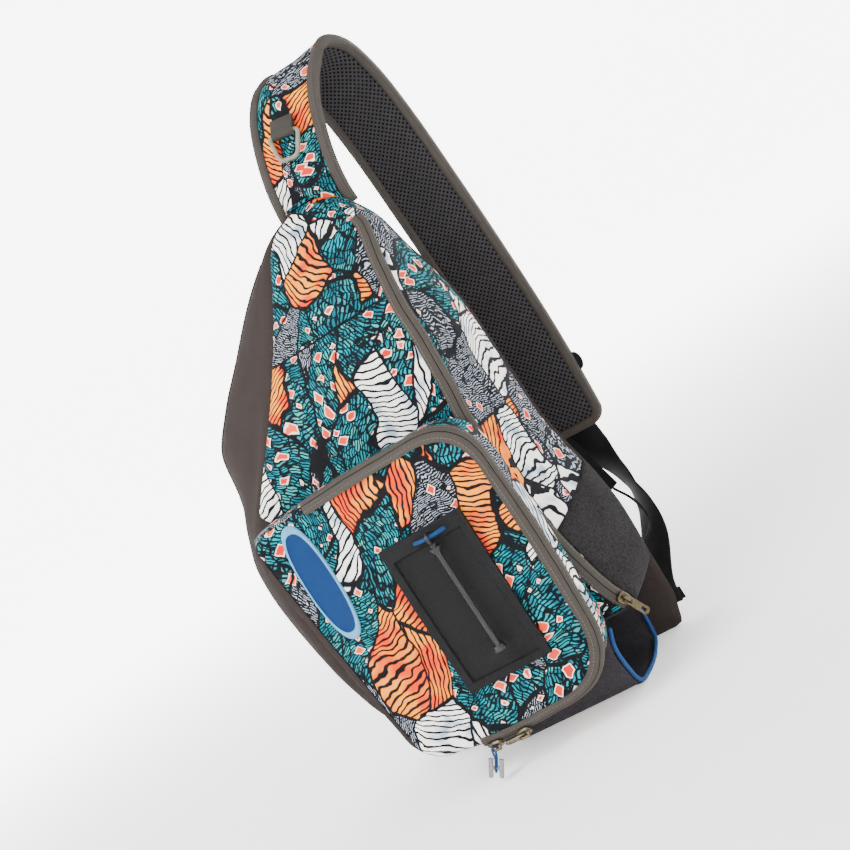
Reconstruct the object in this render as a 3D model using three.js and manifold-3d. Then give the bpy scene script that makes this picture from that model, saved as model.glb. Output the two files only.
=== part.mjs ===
// A sling pack for fishing tackle, standing on its base: teardrop body, front pocket, bottle sleeve and one padded strap.
// Millimetres. +X is the viewer's right, +Y the wearer's side, +Z up. X = 0 is the middle of the bottle sleeve's length.

import * as THREE from "three";
import { mergeVertices } from "three/addons/utils/BufferGeometryUtils.js";
import Module from "manifold-3d";

const wasm = await Module();
wasm.setup();

// Cloth, seams and tapes
const CLOTH = 2; // printed cloth with its backing
const SEAM = 0.3; // gap between pieces that are sewn together
const COVER_GAP = 0.5; // gap under a piece that lies over a curved surface
const SLOT = 5; // width of the slot that a zip closes
const TAPE_WIDTH = 12.6;
const TAPE_THICK = 1.2;

// Main body
const BASE_LEVEL = 58; // floor to the base of the main compartment
const BODY_HEIGHT = 360;
const BODY_DEPTH = 91; // back panel to the fullest part of the front
const BODY_BACK = 52; // the plane where the sides meet the back panel
const LEFT_REACH = 170; // fullest point of the flared left side
const RIGHT_REACH = 119;
const LEFT_ROUND = 16; // how far back from a corner its rounding starts
const RIGHT_ROUND = 17;
const PANEL_BULGE = 4;
const CREASE_DEPTH = 2.2; // seam across the upper front
const CREASE_WIDTH = 9;
const BACK_THICK = 9;
const BACK_EDGE = 2; // how far the bound edge of the back panel stands out past the sides
const BACK_FOOT_LEFT = 118; // reach of the back panel's lower edge, which stands on the floor
const BACK_FOOT_RIGHT = 104;
const ZIP_TOP = 0.915; // share of the body's height where the main zip ends
const PATCH_THICK = 2.4;
const SIDE_WRAP = 0.2; // how far the grey side runs round to the front behind the pocket
const WRAP_LEVEL = 0.53; // share of the body's height below which it does so

// Front pocket
const POCKET_WIDTH = 188;
const POCKET_HEIGHT = 218;
const POCKET_CENTRE = -9;
const POCKET_BASE = 26; // floor to the pocket's lowest point
const POCKET_FACE = -74; // the plane where the pocket's front meets its rim
const POCKET_CROWN = 6;
const RIM_ROUND = 9;
const POCKET_GAP = 0.9; // gap between the pocket's back and the body's front
const POCKET_FLARE = 15; // how far the pocket's sewn edge spreads at its upper left corner
const POCKET_ZIP_START = 0.36; // stations round the pocket's outline, from its upper left corner
const POCKET_ZIP_END = 2.66;

// Bottle sleeve
const SLEEVE_LENGTH = 138;
const SLEEVE_LEFT = -58;
const SLEEVE_FRONT = 36;
const SLEEVE_ROUND = 26;
const MOUTH_SCOOP = 7; // how far the mouth's front edge is cut back
const ELASTIC = 3; // diameter of the blue elastic cord

// Strap
const STRAP_WIDTH = 60;
const STRAP_SHIFT = 56; // sideways drift from root to end
const STRAP_BACK = 82; // depth of the loop behind the back panel
const STRAP_RISE = 110; // root to the top of the loop
const STRAP_DROP = 357; // top of the loop to the strap's end
const STRAP_ROOT_X = 36;
const STRAP_ROOT_LEVEL = 401;
const COVER_THICK = 5;
const COVER_CROWN = 1.2;
const MESH_THICK = 3;
const BINDING_WIDTH = 7;
const BINDING_PROUD = 0.8; // how far the binding stands out past the layers that it holds
const STRAP_CORNER = 13;
const WEBBING_WIDTH = 25;
const WEBBING_THICK = 1.8;
const KEEPER = 2.2; // diameter of the thin loop below the webbing's tail
const EDGE_TAB_STATION = 0.9; // share of the strap's length

// Hardware
const RING_WIRE = 3.4;
const RING_WIDTH = 27;
const RING_DROP = 23;
const RING_STATION = 0.135; // share of the strap's length
const LOOP_WIDTH = 18.5; // the webbing loop that holds the ring
const LOOP_CLEAR = 0.35;
const LOOP_THICK = 1.2;
const SLIDER_LENGTH = 11;
const SLIDER_WIDTH = 8.4;
const SLIDER_THICK = 2.6;
const PULL_LENGTH = 20;
const PULL_WIDTH = 6;
const PULL_THICK = 1.2;
const GRIP_CORD = 1.6; // diameter of the cord that carries the H-shaped grip
const GRIP_DROP = 17.5; // slider's bridge to the lowest point of the cord
const GRIP_LENGTH = 14;
const GRIP_WIDTH = 11;
const GRIP_THICK = 2.4;
const GRIP_LEG = 3.3; // width of each leg of the H
const GRIP_BAR = 2.4; // height of its cross bar
const PIVOT_CLEAR = 0.6; // pivot's centre above the slider, past half the pull's thickness

// Tippet plate and patch
const PLATE_WIDTH = 66;
const PLATE_HEIGHT = 117;
const PLATE_LEFT = -14;
const PLATE_TOP = 187;
const PLATE_THICK = 1.8;
const PLATE_RIM = 2.2;
const PLATE_TOP_BAND = 11;
const PLATE_SIDE_BAND = 6;
const SPOOL_BAR = 4; // diameter
const SPOOL_BAR_LENGTH = 84;
const HOOK_WIRE = 2.4;
const HOOK_RADIUS = 3.9;
const PATCH_WIDTH = 26;
const PATCH_LENGTH = 92;
const PATCH_X = -65;
const PATCH_Z = 188;

const BODY_BASE = BASE_LEVEL + SEAM;
const BODY_TOP = BODY_BASE + BODY_HEIGHT;
const SLEEVE_TOP = BASE_LEVEL - CLOTH - SEAM;

// Horizontal sections of the body. Reaches are shares of LEFT_REACH or RIGHT_REACH, depth of BODY_DEPTH.
const BODY = [
  { at: 0, leftBack: 0.882, leftFront: 0.612, rightFront: 0.87, rightBack: 0.94, depth: 0.9 },
  { at: 0.05, leftBack: 0.924, leftFront: 0.641, rightFront: 0.81, rightBack: 0.985, depth: 0.955 },
  { at: 0.12, leftBack: 0.959, leftFront: 0.671, rightFront: 0.752, rightBack: 0.995, depth: 0.98 },
  { at: 0.2, leftBack: 0.982, leftFront: 0.694, rightFront: 0.71, rightBack: 0.98, depth: 1 },
  { at: 0.3, leftBack: 0.994, leftFront: 0.709, rightFront: 0.668, rightBack: 0.905, depth: 1 },
  { at: 0.395, leftBack: 0.982, leftFront: 0.7, rightFront: 0.65, rightBack: 0.84, depth: 1 },
  { at: 0.48, leftBack: 0.929, leftFront: 0.659, rightFront: 0.655, rightBack: 0.815, depth: 0.99 },
  { at: 0.56, leftBack: 0.876, leftFront: 0.535, rightFront: 0.67, rightBack: 0.81, depth: 0.955 },
  { at: 0.645, leftBack: 0.841, leftFront: 0.382, rightFront: 0.67, rightBack: 0.8, depth: 0.9 },
  { at: 0.73, leftBack: 0.694, leftFront: 0.247, rightFront: 0.65, rightBack: 0.765, depth: 0.81 },
  { at: 0.81, leftBack: 0.506, leftFront: 0.147, rightFront: 0.65, rightBack: 0.69, depth: 0.68 },
  { at: 0.895, leftBack: 0.306, leftFront: 0.065, rightFront: 0.665, rightBack: 0.63, depth: 0.515 },
  { at: 0.95, leftBack: 0.147, leftFront: 0.021, rightFront: 0.56, rightBack: 0.54, depth: 0.385 },
  { at: 0.985, leftBack: 0.018, leftFront: -0.053, rightFront: 0.445, rightBack: 0.44, depth: 0.28 },
  { at: 1, leftBack: -0.082, leftFront: -0.129, rightFront: 0.35, rightBack: 0.35, depth: 0.2 },
];

// Corners of the pocket's outline, clockwise from its upper left. Shares of POCKET_WIDTH and POCKET_HEIGHT.
const POCKET = [
  { across: -0.5, up: 0.972, round: 0.1 },
  { across: 0.5, up: 1, round: 0.225 },
  { across: 0.5, up: 0, round: 0.3 },
  { across: -0.38, up: 0.025, round: 0.15 },
];

// The sleeve's sections along its length. Rise is a share of its height, front and back of its reach each way.
const SLEEVE = [
  { at: 0, rise: 0.6, front: 0.3, back: 0.45 },
  { at: 0.05, rise: 0.3, front: 0.7, back: 0.78 },
  { at: 0.13, rise: 0.08, front: 0.93, back: 0.95 },
  { at: 0.25, rise: 0, front: 1, back: 1 },
  { at: 1, rise: 0, front: 1, back: 1 },
];

// The strap's middle line. Shares of STRAP_SHIFT, STRAP_BACK, STRAP_RISE and STRAP_DROP.
const STRAP = [
  { shift: 0, back: 0, up: 0, down: 0 },
  { shift: 0, back: 0, up: 0.12, down: 0 },
  { shift: 0.04, back: 0.02, up: 0.32, down: 0 },
  { shift: 0.125, back: 0.1, up: 0.55, down: 0 },
  { shift: 0.25, back: 0.235, up: 0.78, down: 0 },
  { shift: 0.41, back: 0.41, up: 0.935, down: 0 },
  { shift: 0.61, back: 0.62, up: 1, down: 0 },
  { shift: 0.75, back: 0.81, up: 1, down: 0.025 },
  { shift: 0.84, back: 0.93, up: 1, down: 0.09 },
  { shift: 0.9, back: 0.99, up: 1, down: 0.2 },
  { shift: 0.95, back: 1, up: 1, down: 0.39 },
  { shift: 0.98, back: 1, up: 1, down: 0.566 },
  { shift: 1, back: 0.97, up: 1, down: 0.734 },
  { shift: 0.99, back: 0.935, up: 1, down: 0.874 },
  { shift: 0.965, back: 0.88, up: 1, down: 1 },
];

const V = (x, y, z) => new THREE.Vector3(x, y, z);
const mix = THREE.MathUtils.lerp;
const steps = (n, from = 0, to = 1) => Array.from({ length: n + 1 }, (_, i) => mix(from, to, i / n));

// A column of a section table at any station, as a smooth curve that keeps between its rows.
function column(rows, key, at) {
  const last = rows.length - 1;
  const slope = (i) => (rows[i + 1][key] - rows[i][key]) / (rows[i + 1].at - rows[i].at);
  const tangent = (i) => {
    if (i === 0) return slope(0);
    if (i === last) return slope(last - 1);
    const a = slope(i - 1);
    const b = slope(i);
    return a * b <= 0 ? 0 : (2 * a * b) / (a + b);
  };
  const s = Math.min(Math.max(at, 0), 1);
  let i = rows.findIndex((row) => row.at > s) - 1;
  if (i < 0) i = last - 1;
  const span = rows[i + 1].at - rows[i].at;
  const t = (s - rows[i].at) / span;
  return (
    rows[i][key] * (1 + 2 * t) * (1 - t) ** 2 +
    tangent(i) * span * t * (1 - t) ** 2 +
    rows[i + 1][key] * t * t * (3 - 2 * t) +
    tangent(i + 1) * span * t * t * (t - 1)
  );
}

// A point of an outline with rounded corners. Corners lie at whole stations, and a corner's rounding takes HALF of each side.
const HALF = 0.14;
function rounded(corners, station, bulges, closed) {
  const n = corners.length;
  const sides = closed ? n : n - 1;
  const s = closed ? ((station % n) + n) % n : Math.min(Math.max(station, 0), sides);
  const side = Math.min(Math.floor(s), sides - 1);
  const t = s - side;
  const a = corners[side];
  const b = corners[(side + 1) % n];
  const along = new THREE.Vector2(b.x - a.x, b.y - a.y);
  const length = along.length();
  along.divideScalar(length);
  const corner = (i, share) => {
    const c = corners[(i + n) % n];
    const p = corners[(i - 1 + n) % n];
    const q = corners[(i + 1) % n];
    const into = new THREE.Vector2(p.x - c.x, p.y - c.y).setLength(c.round);
    const out = new THREE.Vector2(q.x - c.x, q.y - c.y).setLength(c.round);
    const [u, v] = [1 - share, share];
    return new THREE.Vector2(c.x + u * u * into.x + v * v * out.x, c.y + u * u * into.y + v * v * out.y);
  };
  const roundsA = closed || side > 0;
  const roundsB = closed || side < sides - 1;
  if (roundsA && t < HALF) return corner(side, 0.5 + (0.5 * t) / HALF);
  if (roundsB && t > 1 - HALF) return corner(side + 1, (0.5 * (t - 1 + HALF)) / HALF);
  const from = roundsA ? HALF : 0;
  const to = roundsB ? 1 - HALF : 1;
  const f = (t - from) / (to - from);
  const d = mix(roundsA ? a.round : 0, length - (roundsB ? b.round : 0), f);
  const lift = bulges[side] * Math.sin(Math.PI * f);
  return new THREE.Vector2(a.x + along.x * d + along.y * lift, a.y + along.y * d - along.x * lift);
}

// The body's surface. Station 0 is the left back edge, 1 the left front, 2 the right front and 3 the right back.
function bodyCorners(at) {
  const left = (key) => -LEFT_REACH * column(BODY, key, at);
  const right = (key) => RIGHT_REACH * column(BODY, key, at);
  const front = BODY_BACK - BODY_DEPTH * column(BODY, "depth", at);
  return [
    { x: left("leftBack"), y: BODY_BACK, round: 0 },
    { x: left("leftFront"), y: front, round: LEFT_ROUND },
    { x: right("rightFront"), y: front, round: RIGHT_ROUND * Math.min(1, 2.2 * column(BODY, "depth", at)) },
    { x: right("rightBack"), y: BODY_BACK, round: 0 },
  ].map((c, i) => (i === 1 ? { ...c, round: LEFT_ROUND * Math.min(1, 2.2 * column(BODY, "depth", at)) } : c));
}

function bodyAt(station, at) {
  const fade = Math.min(1, 6 * (1 - at), 0.25 + 6 * at);
  const bulges = [PANEL_BULGE * fade, PANEL_BULGE * 1.3 * fade, PANEL_BULGE * 0.8 * fade];
  const p = rounded(bodyCorners(at), station, bulges, false);
  const z = BODY_BASE + at * BODY_HEIGHT;
  const crease = Math.exp(-(((z - CREASE_LEVEL) / CREASE_WIDTH) ** 2) * 4);
  const reach = Math.max(0, Math.min(1, (station - 1) * 8, (1.8 - station) * 8));
  return V(p.x, p.y + CREASE_DEPTH * crease * reach, z);
}
const CREASE_LEVEL = BODY_BASE + 0.755 * BODY_HEIGHT;

// Station of a point of the body's section that lies a length away from the right front corner.
function besideZip(at, length) {
  const sign = Math.sign(length) || 1;
  const edge = bodyAt(2 + sign * HALF, at);
  const middle = bodyAt(2 + sign * HALF * 0.5, at);
  const half = edge.distanceTo(middle) + middle.distanceTo(bodyAt(2, at));
  return 2 + (HALF * length) / half;
}

// How far forward the body's front lies at a point of it.
function bodyFront(x, z) {
  const at = (z - BODY_BASE) / BODY_HEIGHT;
  if (at < 0) return -SLEEVE_FRONT;
  let [low, high] = [1, 2];
  for (let i = 0; i < 20; i++) {
    const middle = (low + high) / 2;
    if (bodyAt(middle, at).x < x) low = middle;
    else high = middle;
  }
  return bodyAt(low, at).y;
}

const pocketCorners = POCKET.map((c) => ({
  x: POCKET_CENTRE + c.across * POCKET_WIDTH,
  y: POCKET_BASE + c.up * POCKET_HEIGHT,
  round: c.round * POCKET_WIDTH,
}));
const POCKET_MIDDLE = POCKET_BASE + 0.5 * POCKET_HEIGHT;

function pocketFace(x, z) {
  const across = Math.min(1, Math.abs(x - POCKET_CENTRE) / (0.5 * POCKET_WIDTH));
  const up = Math.min(1, Math.abs(z - POCKET_MIDDLE) / (0.5 * POCKET_HEIGHT));
  return POCKET_FACE - POCKET_CROWN * (1 - across ** 2) * (1 - up ** 2);
}

// The pocket's back keeps in front of the body's face and of the main zip's tape.
function pocketBack(x, z) {
  const level = Math.max(z, BODY_BASE + 1);
  const corner = bodyCorners((level - BODY_BASE) / BODY_HEIGHT)[1].y - TAPE_THICK - 1.4;
  return Math.min(bodyFront(x, level), corner, -SLEEVE_FRONT) - POCKET_GAP;
}

// The pocket's surface. Depth stations: 0 the middle of its back, 1 the back edge, 2 to 3 the round rim, 4 the middle of its front.
function pocketAt(station, depth) {
  const p = rounded(pocketCorners, station, [-2, -2, -3, -2], true);
  const centre = new THREE.Vector2(POCKET_CENTRE, POCKET_MIDDLE);
  const toCorner = Math.min(Math.abs(station), Math.abs(4 - station));
  const flare = POCKET_FLARE * Math.exp(-((toCorner / 0.13) ** 2));
  const spread = (share) => V(p.x - flare * share, 0, p.y - 0.1 * flare * share);
  if (depth <= 1) {
    const q = new THREE.Vector2(POCKET_CENTRE, POCKET_MIDDLE).lerp(p, depth);
    q.x -= flare * depth ** 4;
    q.y -= 0.1 * flare * depth ** 4;
    return V(q.x, pocketBack(q.x, q.y), q.y);
  }
  if (depth <= 2) {
    const edge = spread(1);
    const q = spread((2 - depth) ** 1.5);
    return q.setY(mix(pocketBack(edge.x, edge.z), POCKET_FACE + RIM_ROUND, depth - 1));
  }
  const inward = centre.clone().sub(p);
  const turn = (Math.min(depth, 3) - 2) * 0.5 * Math.PI;
  const inset = p.clone().add(inward.setLength(RIM_ROUND * (1 - Math.cos(turn))));
  if (depth <= 3) {
    const fullness = pocketFace(inset.x, inset.y) - POCKET_FACE;
    return V(inset.x, POCKET_FACE + RIM_ROUND * (1 - Math.sin(turn)) + fullness * Math.sin(turn), inset.y);
  }
  const q = inset.lerp(centre, depth - 3);
  return V(q.x, pocketFace(q.x, q.y), q.y);
}

// The sleeve's surface. Station 0 is its front top edge, 3 its back top edge; along runs from the closed end to the mouth.
function sleeveAt(station, along) {
  const rise = column(SLEEVE, "rise", along) * SLEEVE_TOP;
  const front = -SLEEVE_FRONT * column(SLEEVE, "front", along);
  const back = BODY_BACK * column(SLEEVE, "back", along);
  const round = Math.min(SLEEVE_ROUND, 0.42 * (SLEEVE_TOP - rise));
  const corners = [
    { x: front, y: SLEEVE_TOP, round: 0 },
    { x: front, y: rise, round },
    { x: back, y: rise, round },
    { x: back, y: SLEEVE_TOP, round: 0 },
  ];
  const p = rounded(corners, station, [0, 0, 0], false);
  const scoop = MOUTH_SCOOP * Math.sin(Math.PI * Math.min(1, Math.max(0, (1.35 - station) / 1.35)));
  return V(SLEEVE_LEFT + along * (SLEEVE_LENGTH - scoop), p.x, p.y);
}

const strapLine = new THREE.CatmullRomCurve3(
  STRAP.map((row) =>
    V(
      STRAP_ROOT_X + row.shift * STRAP_SHIFT,
      BODY_BACK + SEAM + COVER_THICK + COVER_CROWN + BINDING_PROUD + row.back * STRAP_BACK,
      STRAP_ROOT_LEVEL + row.up * STRAP_RISE - row.down * STRAP_DROP,
    ),
  ),
);
strapLine.arcLengthDivisions = 400;
const STRAP_LENGTH = strapLine.getLength();

// Point and directions of the strap at a share of its length: across its width, along it, and out of its printed face.
function strapFrame(share) {
  const point = strapLine.getPointAt(share);
  const along = strapLine.getTangentAt(share);
  const across = V(1, 0, 0).addScaledVector(along, -along.x).normalize();
  return { point, along, across, out: across.clone().cross(along) };
}

function strapAt(across, share) {
  const f = strapFrame(Math.min(Math.max(share, 0), 1));
  return f.point.addScaledVector(f.across, across);
}

// Surface point, moved out along the surface's own normal.
function lifted(surface, side, u, v, offset) {
  const e = 1e-3;
  const du = surface(u + e, v).sub(surface(u - e, v));
  const dv = surface(u, v + e).sub(surface(u, v - e));
  return surface(u, v).addScaledVector(du.cross(dv).normalize(), side * offset);
}

function solid(points, faces) {
  const geometry = new THREE.BufferGeometry();
  const position = new Float32Array(points.flatMap((p) => [p.x, p.y, p.z]));
  geometry.setAttribute("position", new THREE.BufferAttribute(position, 3));
  let volume = 0;
  for (const [a, b, c] of faces) volume += points[a].dot(points[b].clone().cross(points[c]));
  geometry.setIndex(faces.flatMap(([a, b, c]) => (volume > 0 ? [a, b, c] : [a, c, b])));
  return geometry;
}

// A piece of cloth: a grid of a surface's points, as thick as the step between two offsets.
// grid(i, j) gives the surface's two stations; a closed piece joins its last column to its first, and a pole ends in one point.
function sheet(surface, side, { cols, rows, grid, outer, inner, closed = false, poleFirst = false, poleLast = false }) {
  const points = [];
  const faces = [];
  const width = closed ? cols : cols + 1;
  const layer = (offset) => {
    const rings = [];
    for (let j = 0; j <= rows; j++) {
      const pole = (poleFirst && j === 0) || (poleLast && j === rows);
      const ring = [];
      for (let i = 0; i < (pole ? 1 : width); i++) {
        const [u, v] = grid(i, j);
        const lift = typeof offset === "function" ? offset(i, j) : offset;
        ring.push(points.length);
        if (pole) {
          const around = steps(7, 0, closed ? cols : width - 1).slice(0, 7);
          const near = around.map((k) => lifted(surface, side, ...grid(k, j + (poleFirst && j === 0 ? 0.02 : -0.02)), lift));
          points.push(near.reduce((sum, p) => sum.add(p), V(0, 0, 0)).divideScalar(7));
        } else points.push(lifted(surface, side, u, v, lift));
      }
      rings.push(ring);
    }
    return rings;
  };
  const top = layer(outer);
  const bottom = layer(inner);
  const at = (rings, i, j) => rings[j][rings[j].length === 1 ? 0 : i % width];
  const quad = (a, b, c, d) => {
    if (a !== b && b !== c && a !== c) faces.push([a, b, c]);
    if (a !== c && c !== d && a !== d) faces.push([a, c, d]);
  };
  for (let j = 0; j < rows; j++)
    for (let i = 0; i < cols; i++) {
      quad(at(top, i, j), at(top, i + 1, j), at(top, i + 1, j + 1), at(top, i, j + 1));
      quad(at(bottom, i, j), at(bottom, i, j + 1), at(bottom, i + 1, j + 1), at(bottom, i + 1, j));
    }
  for (let i = 0; i < cols; i++) {
    if (!poleFirst) quad(at(top, i, 0), at(bottom, i, 0), at(bottom, i + 1, 0), at(top, i + 1, 0));
    if (!poleLast) quad(at(top, i, rows), at(top, i + 1, rows), at(bottom, i + 1, rows), at(bottom, i, rows));
  }
  if (!closed)
    for (let j = 0; j < rows; j++) {
      quad(at(top, 0, j), at(top, 0, j + 1), at(bottom, 0, j + 1), at(bottom, 0, j));
      quad(at(top, cols, j), at(bottom, cols, j), at(bottom, cols, j + 1), at(top, cols, j + 1));
    }
  return solid(points, faces);
}

// A bar swept along frames of { point, side, up }, with a section given as [side, up] pairs.
function swept(frames, section, closed = false) {
  const points = frames.flatMap((f) =>
    section.map(([a, b]) => f.point.clone().addScaledVector(f.side, a).addScaledVector(f.up, b)),
  );
  const n = section.length;
  const faces = [];
  const rings = closed ? frames.length : frames.length - 1;
  for (let j = 0; j < rings; j++)
    for (let i = 0; i < n; i++) {
      const next = (j + 1) % frames.length;
      const [a, b] = [j * n + i, j * n + ((i + 1) % n)];
      const [c, d] = [next * n + ((i + 1) % n), next * n + i];
      faces.push([a, b, c], [a, c, d]);
    }
  if (!closed)
    for (let i = 1; i < n - 1; i++) {
      const last = (frames.length - 1) * n;
      faces.push([0, i + 1, i], [last, last + i, last + i + 1]);
    }
  return solid(points, faces);
}

// Frames along a curve whose side stays square to a fixed direction.
function framesAlong(curve, count, upward, closed = false) {
  return steps(closed ? count - 1 : count, 0, closed ? 1 - 1 / count : 1).map((t) => {
    const along = curve.getTangentAt(t);
    const side = along.clone().cross(upward).normalize();
    return { point: curve.getPointAt(t), side, up: side.clone().cross(along) };
  });
}

const disc = (radius, sides) =>
  steps(sides)
    .slice(0, sides)
    .map((t) => [radius * Math.cos(2 * Math.PI * t), radius * Math.sin(2 * Math.PI * t)]);

const polygon = (pairs) => new THREE.Shape(pairs.map(([x, y]) => new THREE.Vector2(x, y)));

function plate(shape, depth, bevel = 0) {
  const bevels = { bevelEnabled: bevel > 0, bevelSize: bevel, bevelThickness: bevel, bevelSegments: 1, bevelOffset: -bevel };
  const geometry = new THREE.ExtrudeGeometry(shape, { depth: depth - 2 * bevel, curveSegments: 8, ...bevels });
  return geometry.translate(0, 0, bevel);
}

function manifold(geometry) {
  const bare = geometry.clone();
  bare.deleteAttribute("normal");
  bare.deleteAttribute("uv");
  const merged = mergeVertices(bare, 1e-4);
  return new wasm.Manifold(
    new wasm.Mesh({
      numProp: 3,
      vertProperties: merged.attributes.position.array,
      triVerts: new Uint32Array(merged.index.array),
    }),
  );
}

function joined(first, ...rest) {
  const mesh = rest.reduce((sum, g) => sum.add(manifold(g)), manifold(first)).getMesh();
  const geometry = new THREE.BufferGeometry();
  geometry.setAttribute("position", new THREE.BufferAttribute(new Float32Array(mesh.vertProperties), 3));
  return geometry.setIndex(Array.from(mesh.triVerts));
}

const looks = {
  print: { color: 0x1d8088, roughness: 0.85, metalness: 0 },
  grey_cloth: { color: 0x5c5250, roughness: 0.85, metalness: 0 },
  charcoal: { color: 0x3a393c, roughness: 0.9, metalness: 0 },
  taupe: { color: 0x76706a, roughness: 0.85, metalness: 0 },
  mesh: { color: 0x282628, roughness: 0.95, metalness: 0 },
  webbing: { color: 0x1e1e1e, roughness: 0.85, metalness: 0 },
  plate: { color: 0x34353a, roughness: 0.6, metalness: 0 },
  elastic: { color: 0x3c6eaa, roughness: 0.8, metalness: 0 },
  blue_patch: { color: 0x14609c, roughness: 0.9, metalness: 0 },
  gunmetal: { color: 0x6e6858, roughness: 0.35, metalness: 0.9 },
  silver: { color: 0xb4b4b4, roughness: 0.35, metalness: 0.8 },
  ring: { color: 0xb4b2a4, roughness: 0.4, metalness: 0.3 },
};
const bag = new THREE.Group();
function piece(name, look, geometry, parent = bag) {
  const mesh = new THREE.Mesh(geometry, new THREE.MeshStandardMaterial(looks[look]));
  mesh.name = name;
  parent.add(mesh);
  return mesh;
}

// Places a group so that its x runs across, its y along and its z out of a surface.
function placed(point, across, along, out) {
  const group = new THREE.Group();
  group.position.copy(point);
  group.quaternion.setFromRotationMatrix(new THREE.Matrix4().makeBasis(across, along, out));
  bag.add(group);
  return group;
}

// Body panels
const LEVELS = [
  0, 0.05, 0.1, 0.16, 0.22, 0.3, 0.38, 0.44, 0.48, 0.525, 0.58, 0.63, 0.68, 0.725, 0.755, 0.785, 0.83, 0.875, 0.915, 0.945, 0.975, 1,
];
const slotHalf = (at) => (at <= ZIP_TOP ? SLOT / 2 : SEAM / 2);
const backInset = (at, side) => 1.2 / bodyAt(side, at).distanceTo(bodyAt(side + 1, at));

function bodyPanels() {
  const rows = LEVELS.length - 1;
  const cloth = { rows, outer: 0, inner: -CLOTH };
  const seamAt = (at) => 1 + SIDE_WRAP * THREE.MathUtils.smoothstep(WRAP_LEVEL - at, 0, 0.05);
  const seamHalf = SEAM / 2 / 75;
  const front = [0, 0.07, 0.14, 0.26, 0.38, 0.5, 0.62, 0.74, 0.86, 0.93, 1];
  piece("body_front", "print", sheet(bodyAt, 1, {
    ...cloth,
    cols: front.length - 1,
    grid: (i, j) => {
      const at = LEVELS[j];
      return [mix(seamAt(at) + seamHalf, besideZip(at, -slotHalf(at)), front[i]), at];
    },
  }));
  const gusset = [0, 0.05, 0.1, 0.16, 0.36, 0.58, 0.8, 1];
  piece("body_gusset", "print", sheet(bodyAt, 1, {
    ...cloth,
    cols: gusset.length - 1,
    grid: (i, j) => {
      const at = LEVELS[j];
      return [mix(besideZip(at, slotHalf(at)), 3 - backInset(at, 2), gusset[i]), at];
    },
  }));
  const side = [0, 0.25, 0.5, 0.7, 0.78, 0.84, 0.9, 0.95, 1];
  piece("side_panel", "grey_cloth", sheet(bodyAt, 1, {
    ...cloth,
    cols: side.length - 1,
    grid: (i, j) => {
      const at = LEVELS[j];
      return [mix(backInset(at, 0), seamAt(at) - seamHalf, side[i]), at];
    },
  }));
}

// Flat pieces that close the body's top and base, cut to its section there.
function bodyEnds() {
  const outline = (at) => {
    const around = [...steps(5, 0, 0.84), ...steps(3, 0.9, 1.12), ...steps(5, 1.2, 1.8), ...steps(3, 1.88, 2.12), ...steps(3, 2.3, 3)];
    return polygon(around.map((s) => bodyAt(s, at)).map((p) => [p.x, p.y]));
  };
  piece("bottom_panel", "charcoal", plate(outline(0), CLOTH)).position.z = BODY_BASE - CLOTH - SEAM;
  piece("top_panel", "print", plate(outline(1), CLOTH + 1, 1)).position.z = BODY_TOP + SEAM;
}

// The padded back follows the body's outline and goes on down to the floor behind the sleeve.
function backPanel() {
  const reach = (key, side, z) => {
    const at = (z - BODY_BASE) / BODY_HEIGHT;
    return side * (BACK_EDGE + (key === "leftBack" ? LEFT_REACH : RIGHT_REACH) * column(BODY, key, at));
  };
  const top = STRAP_ROOT_LEVEL - SEAM;
  const levels = [...steps(12, BASE_LEVEL + 14, top - 12), top];
  const right = levels.map((z) => [reach("rightBack", 1, z), z]);
  const left = levels.map((z) => [reach("leftBack", -1, z), z]).reverse();
  const foot = (x) => [[x * 0.93, 0], [x, 4], [x * 1.05, 24]];
  const outline = [...foot(BACK_FOOT_RIGHT), ...right, ...left, ...foot(-BACK_FOOT_LEFT).reverse()];
  const mesh = piece("back_panel", "grey_cloth", plate(polygon(outline), BACK_THICK, 2.5));
  mesh.rotation.x = Math.PI / 2;
  mesh.position.y = BODY_BACK + SEAM + BACK_THICK;
}

function mainZip() {
  const levels = LEVELS.filter((at) => at <= ZIP_TOP);
  piece("main_zip_tape", "taupe", sheet(bodyAt, 1, {
    cols: 4,
    rows: levels.length - 1,
    outer: COVER_GAP + TAPE_THICK,
    inner: COVER_GAP,
    grid: (i, j) => [besideZip(levels[j], mix(-0.5, 0.5, i / 4) * TAPE_WIDTH), levels[j]],
  }));
}

function flyPatch() {
  const rows = 6;
  const topAt = (share) => mix(0.2, 0.25, share);
  piece("fly_patch", "charcoal", sheet(bodyAt, 1, {
    cols: 5,
    rows,
    outer: COVER_GAP + PATCH_THICK,
    inner: COVER_GAP,
    grid: (i, j) => {
      const at = (topAt(i / 5) * j) / rows;
      return [mix(besideZip(at, TAPE_WIDTH / 2 + 1), 2.96, i / 5), at];
    },
  }));
}

// Pocket
const AROUND = [];
for (let side = 0; side < 4; side++)
  for (const t of [0, 0.07, 0.14, 0.26, 0.38, 0.5, 0.62, 0.74, 0.86, 0.93]) AROUND.push(side + t);
const rimLength = 0.5 * Math.PI * RIM_ROUND;
const isZipped = (station) => station > POCKET_ZIP_START && station < POCKET_ZIP_END;
const rimGap = (station) => (isZipped(station) ? SLOT : SEAM) / 2 / rimLength;

function stationAround(i) {
  const n = AROUND.length;
  const low = Math.floor(i) % n;
  const high = (low + 1) % n;
  const to = high === 0 ? 4 : AROUND[high];
  return mix(AROUND[low], to, i - Math.floor(i));
}

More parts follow.
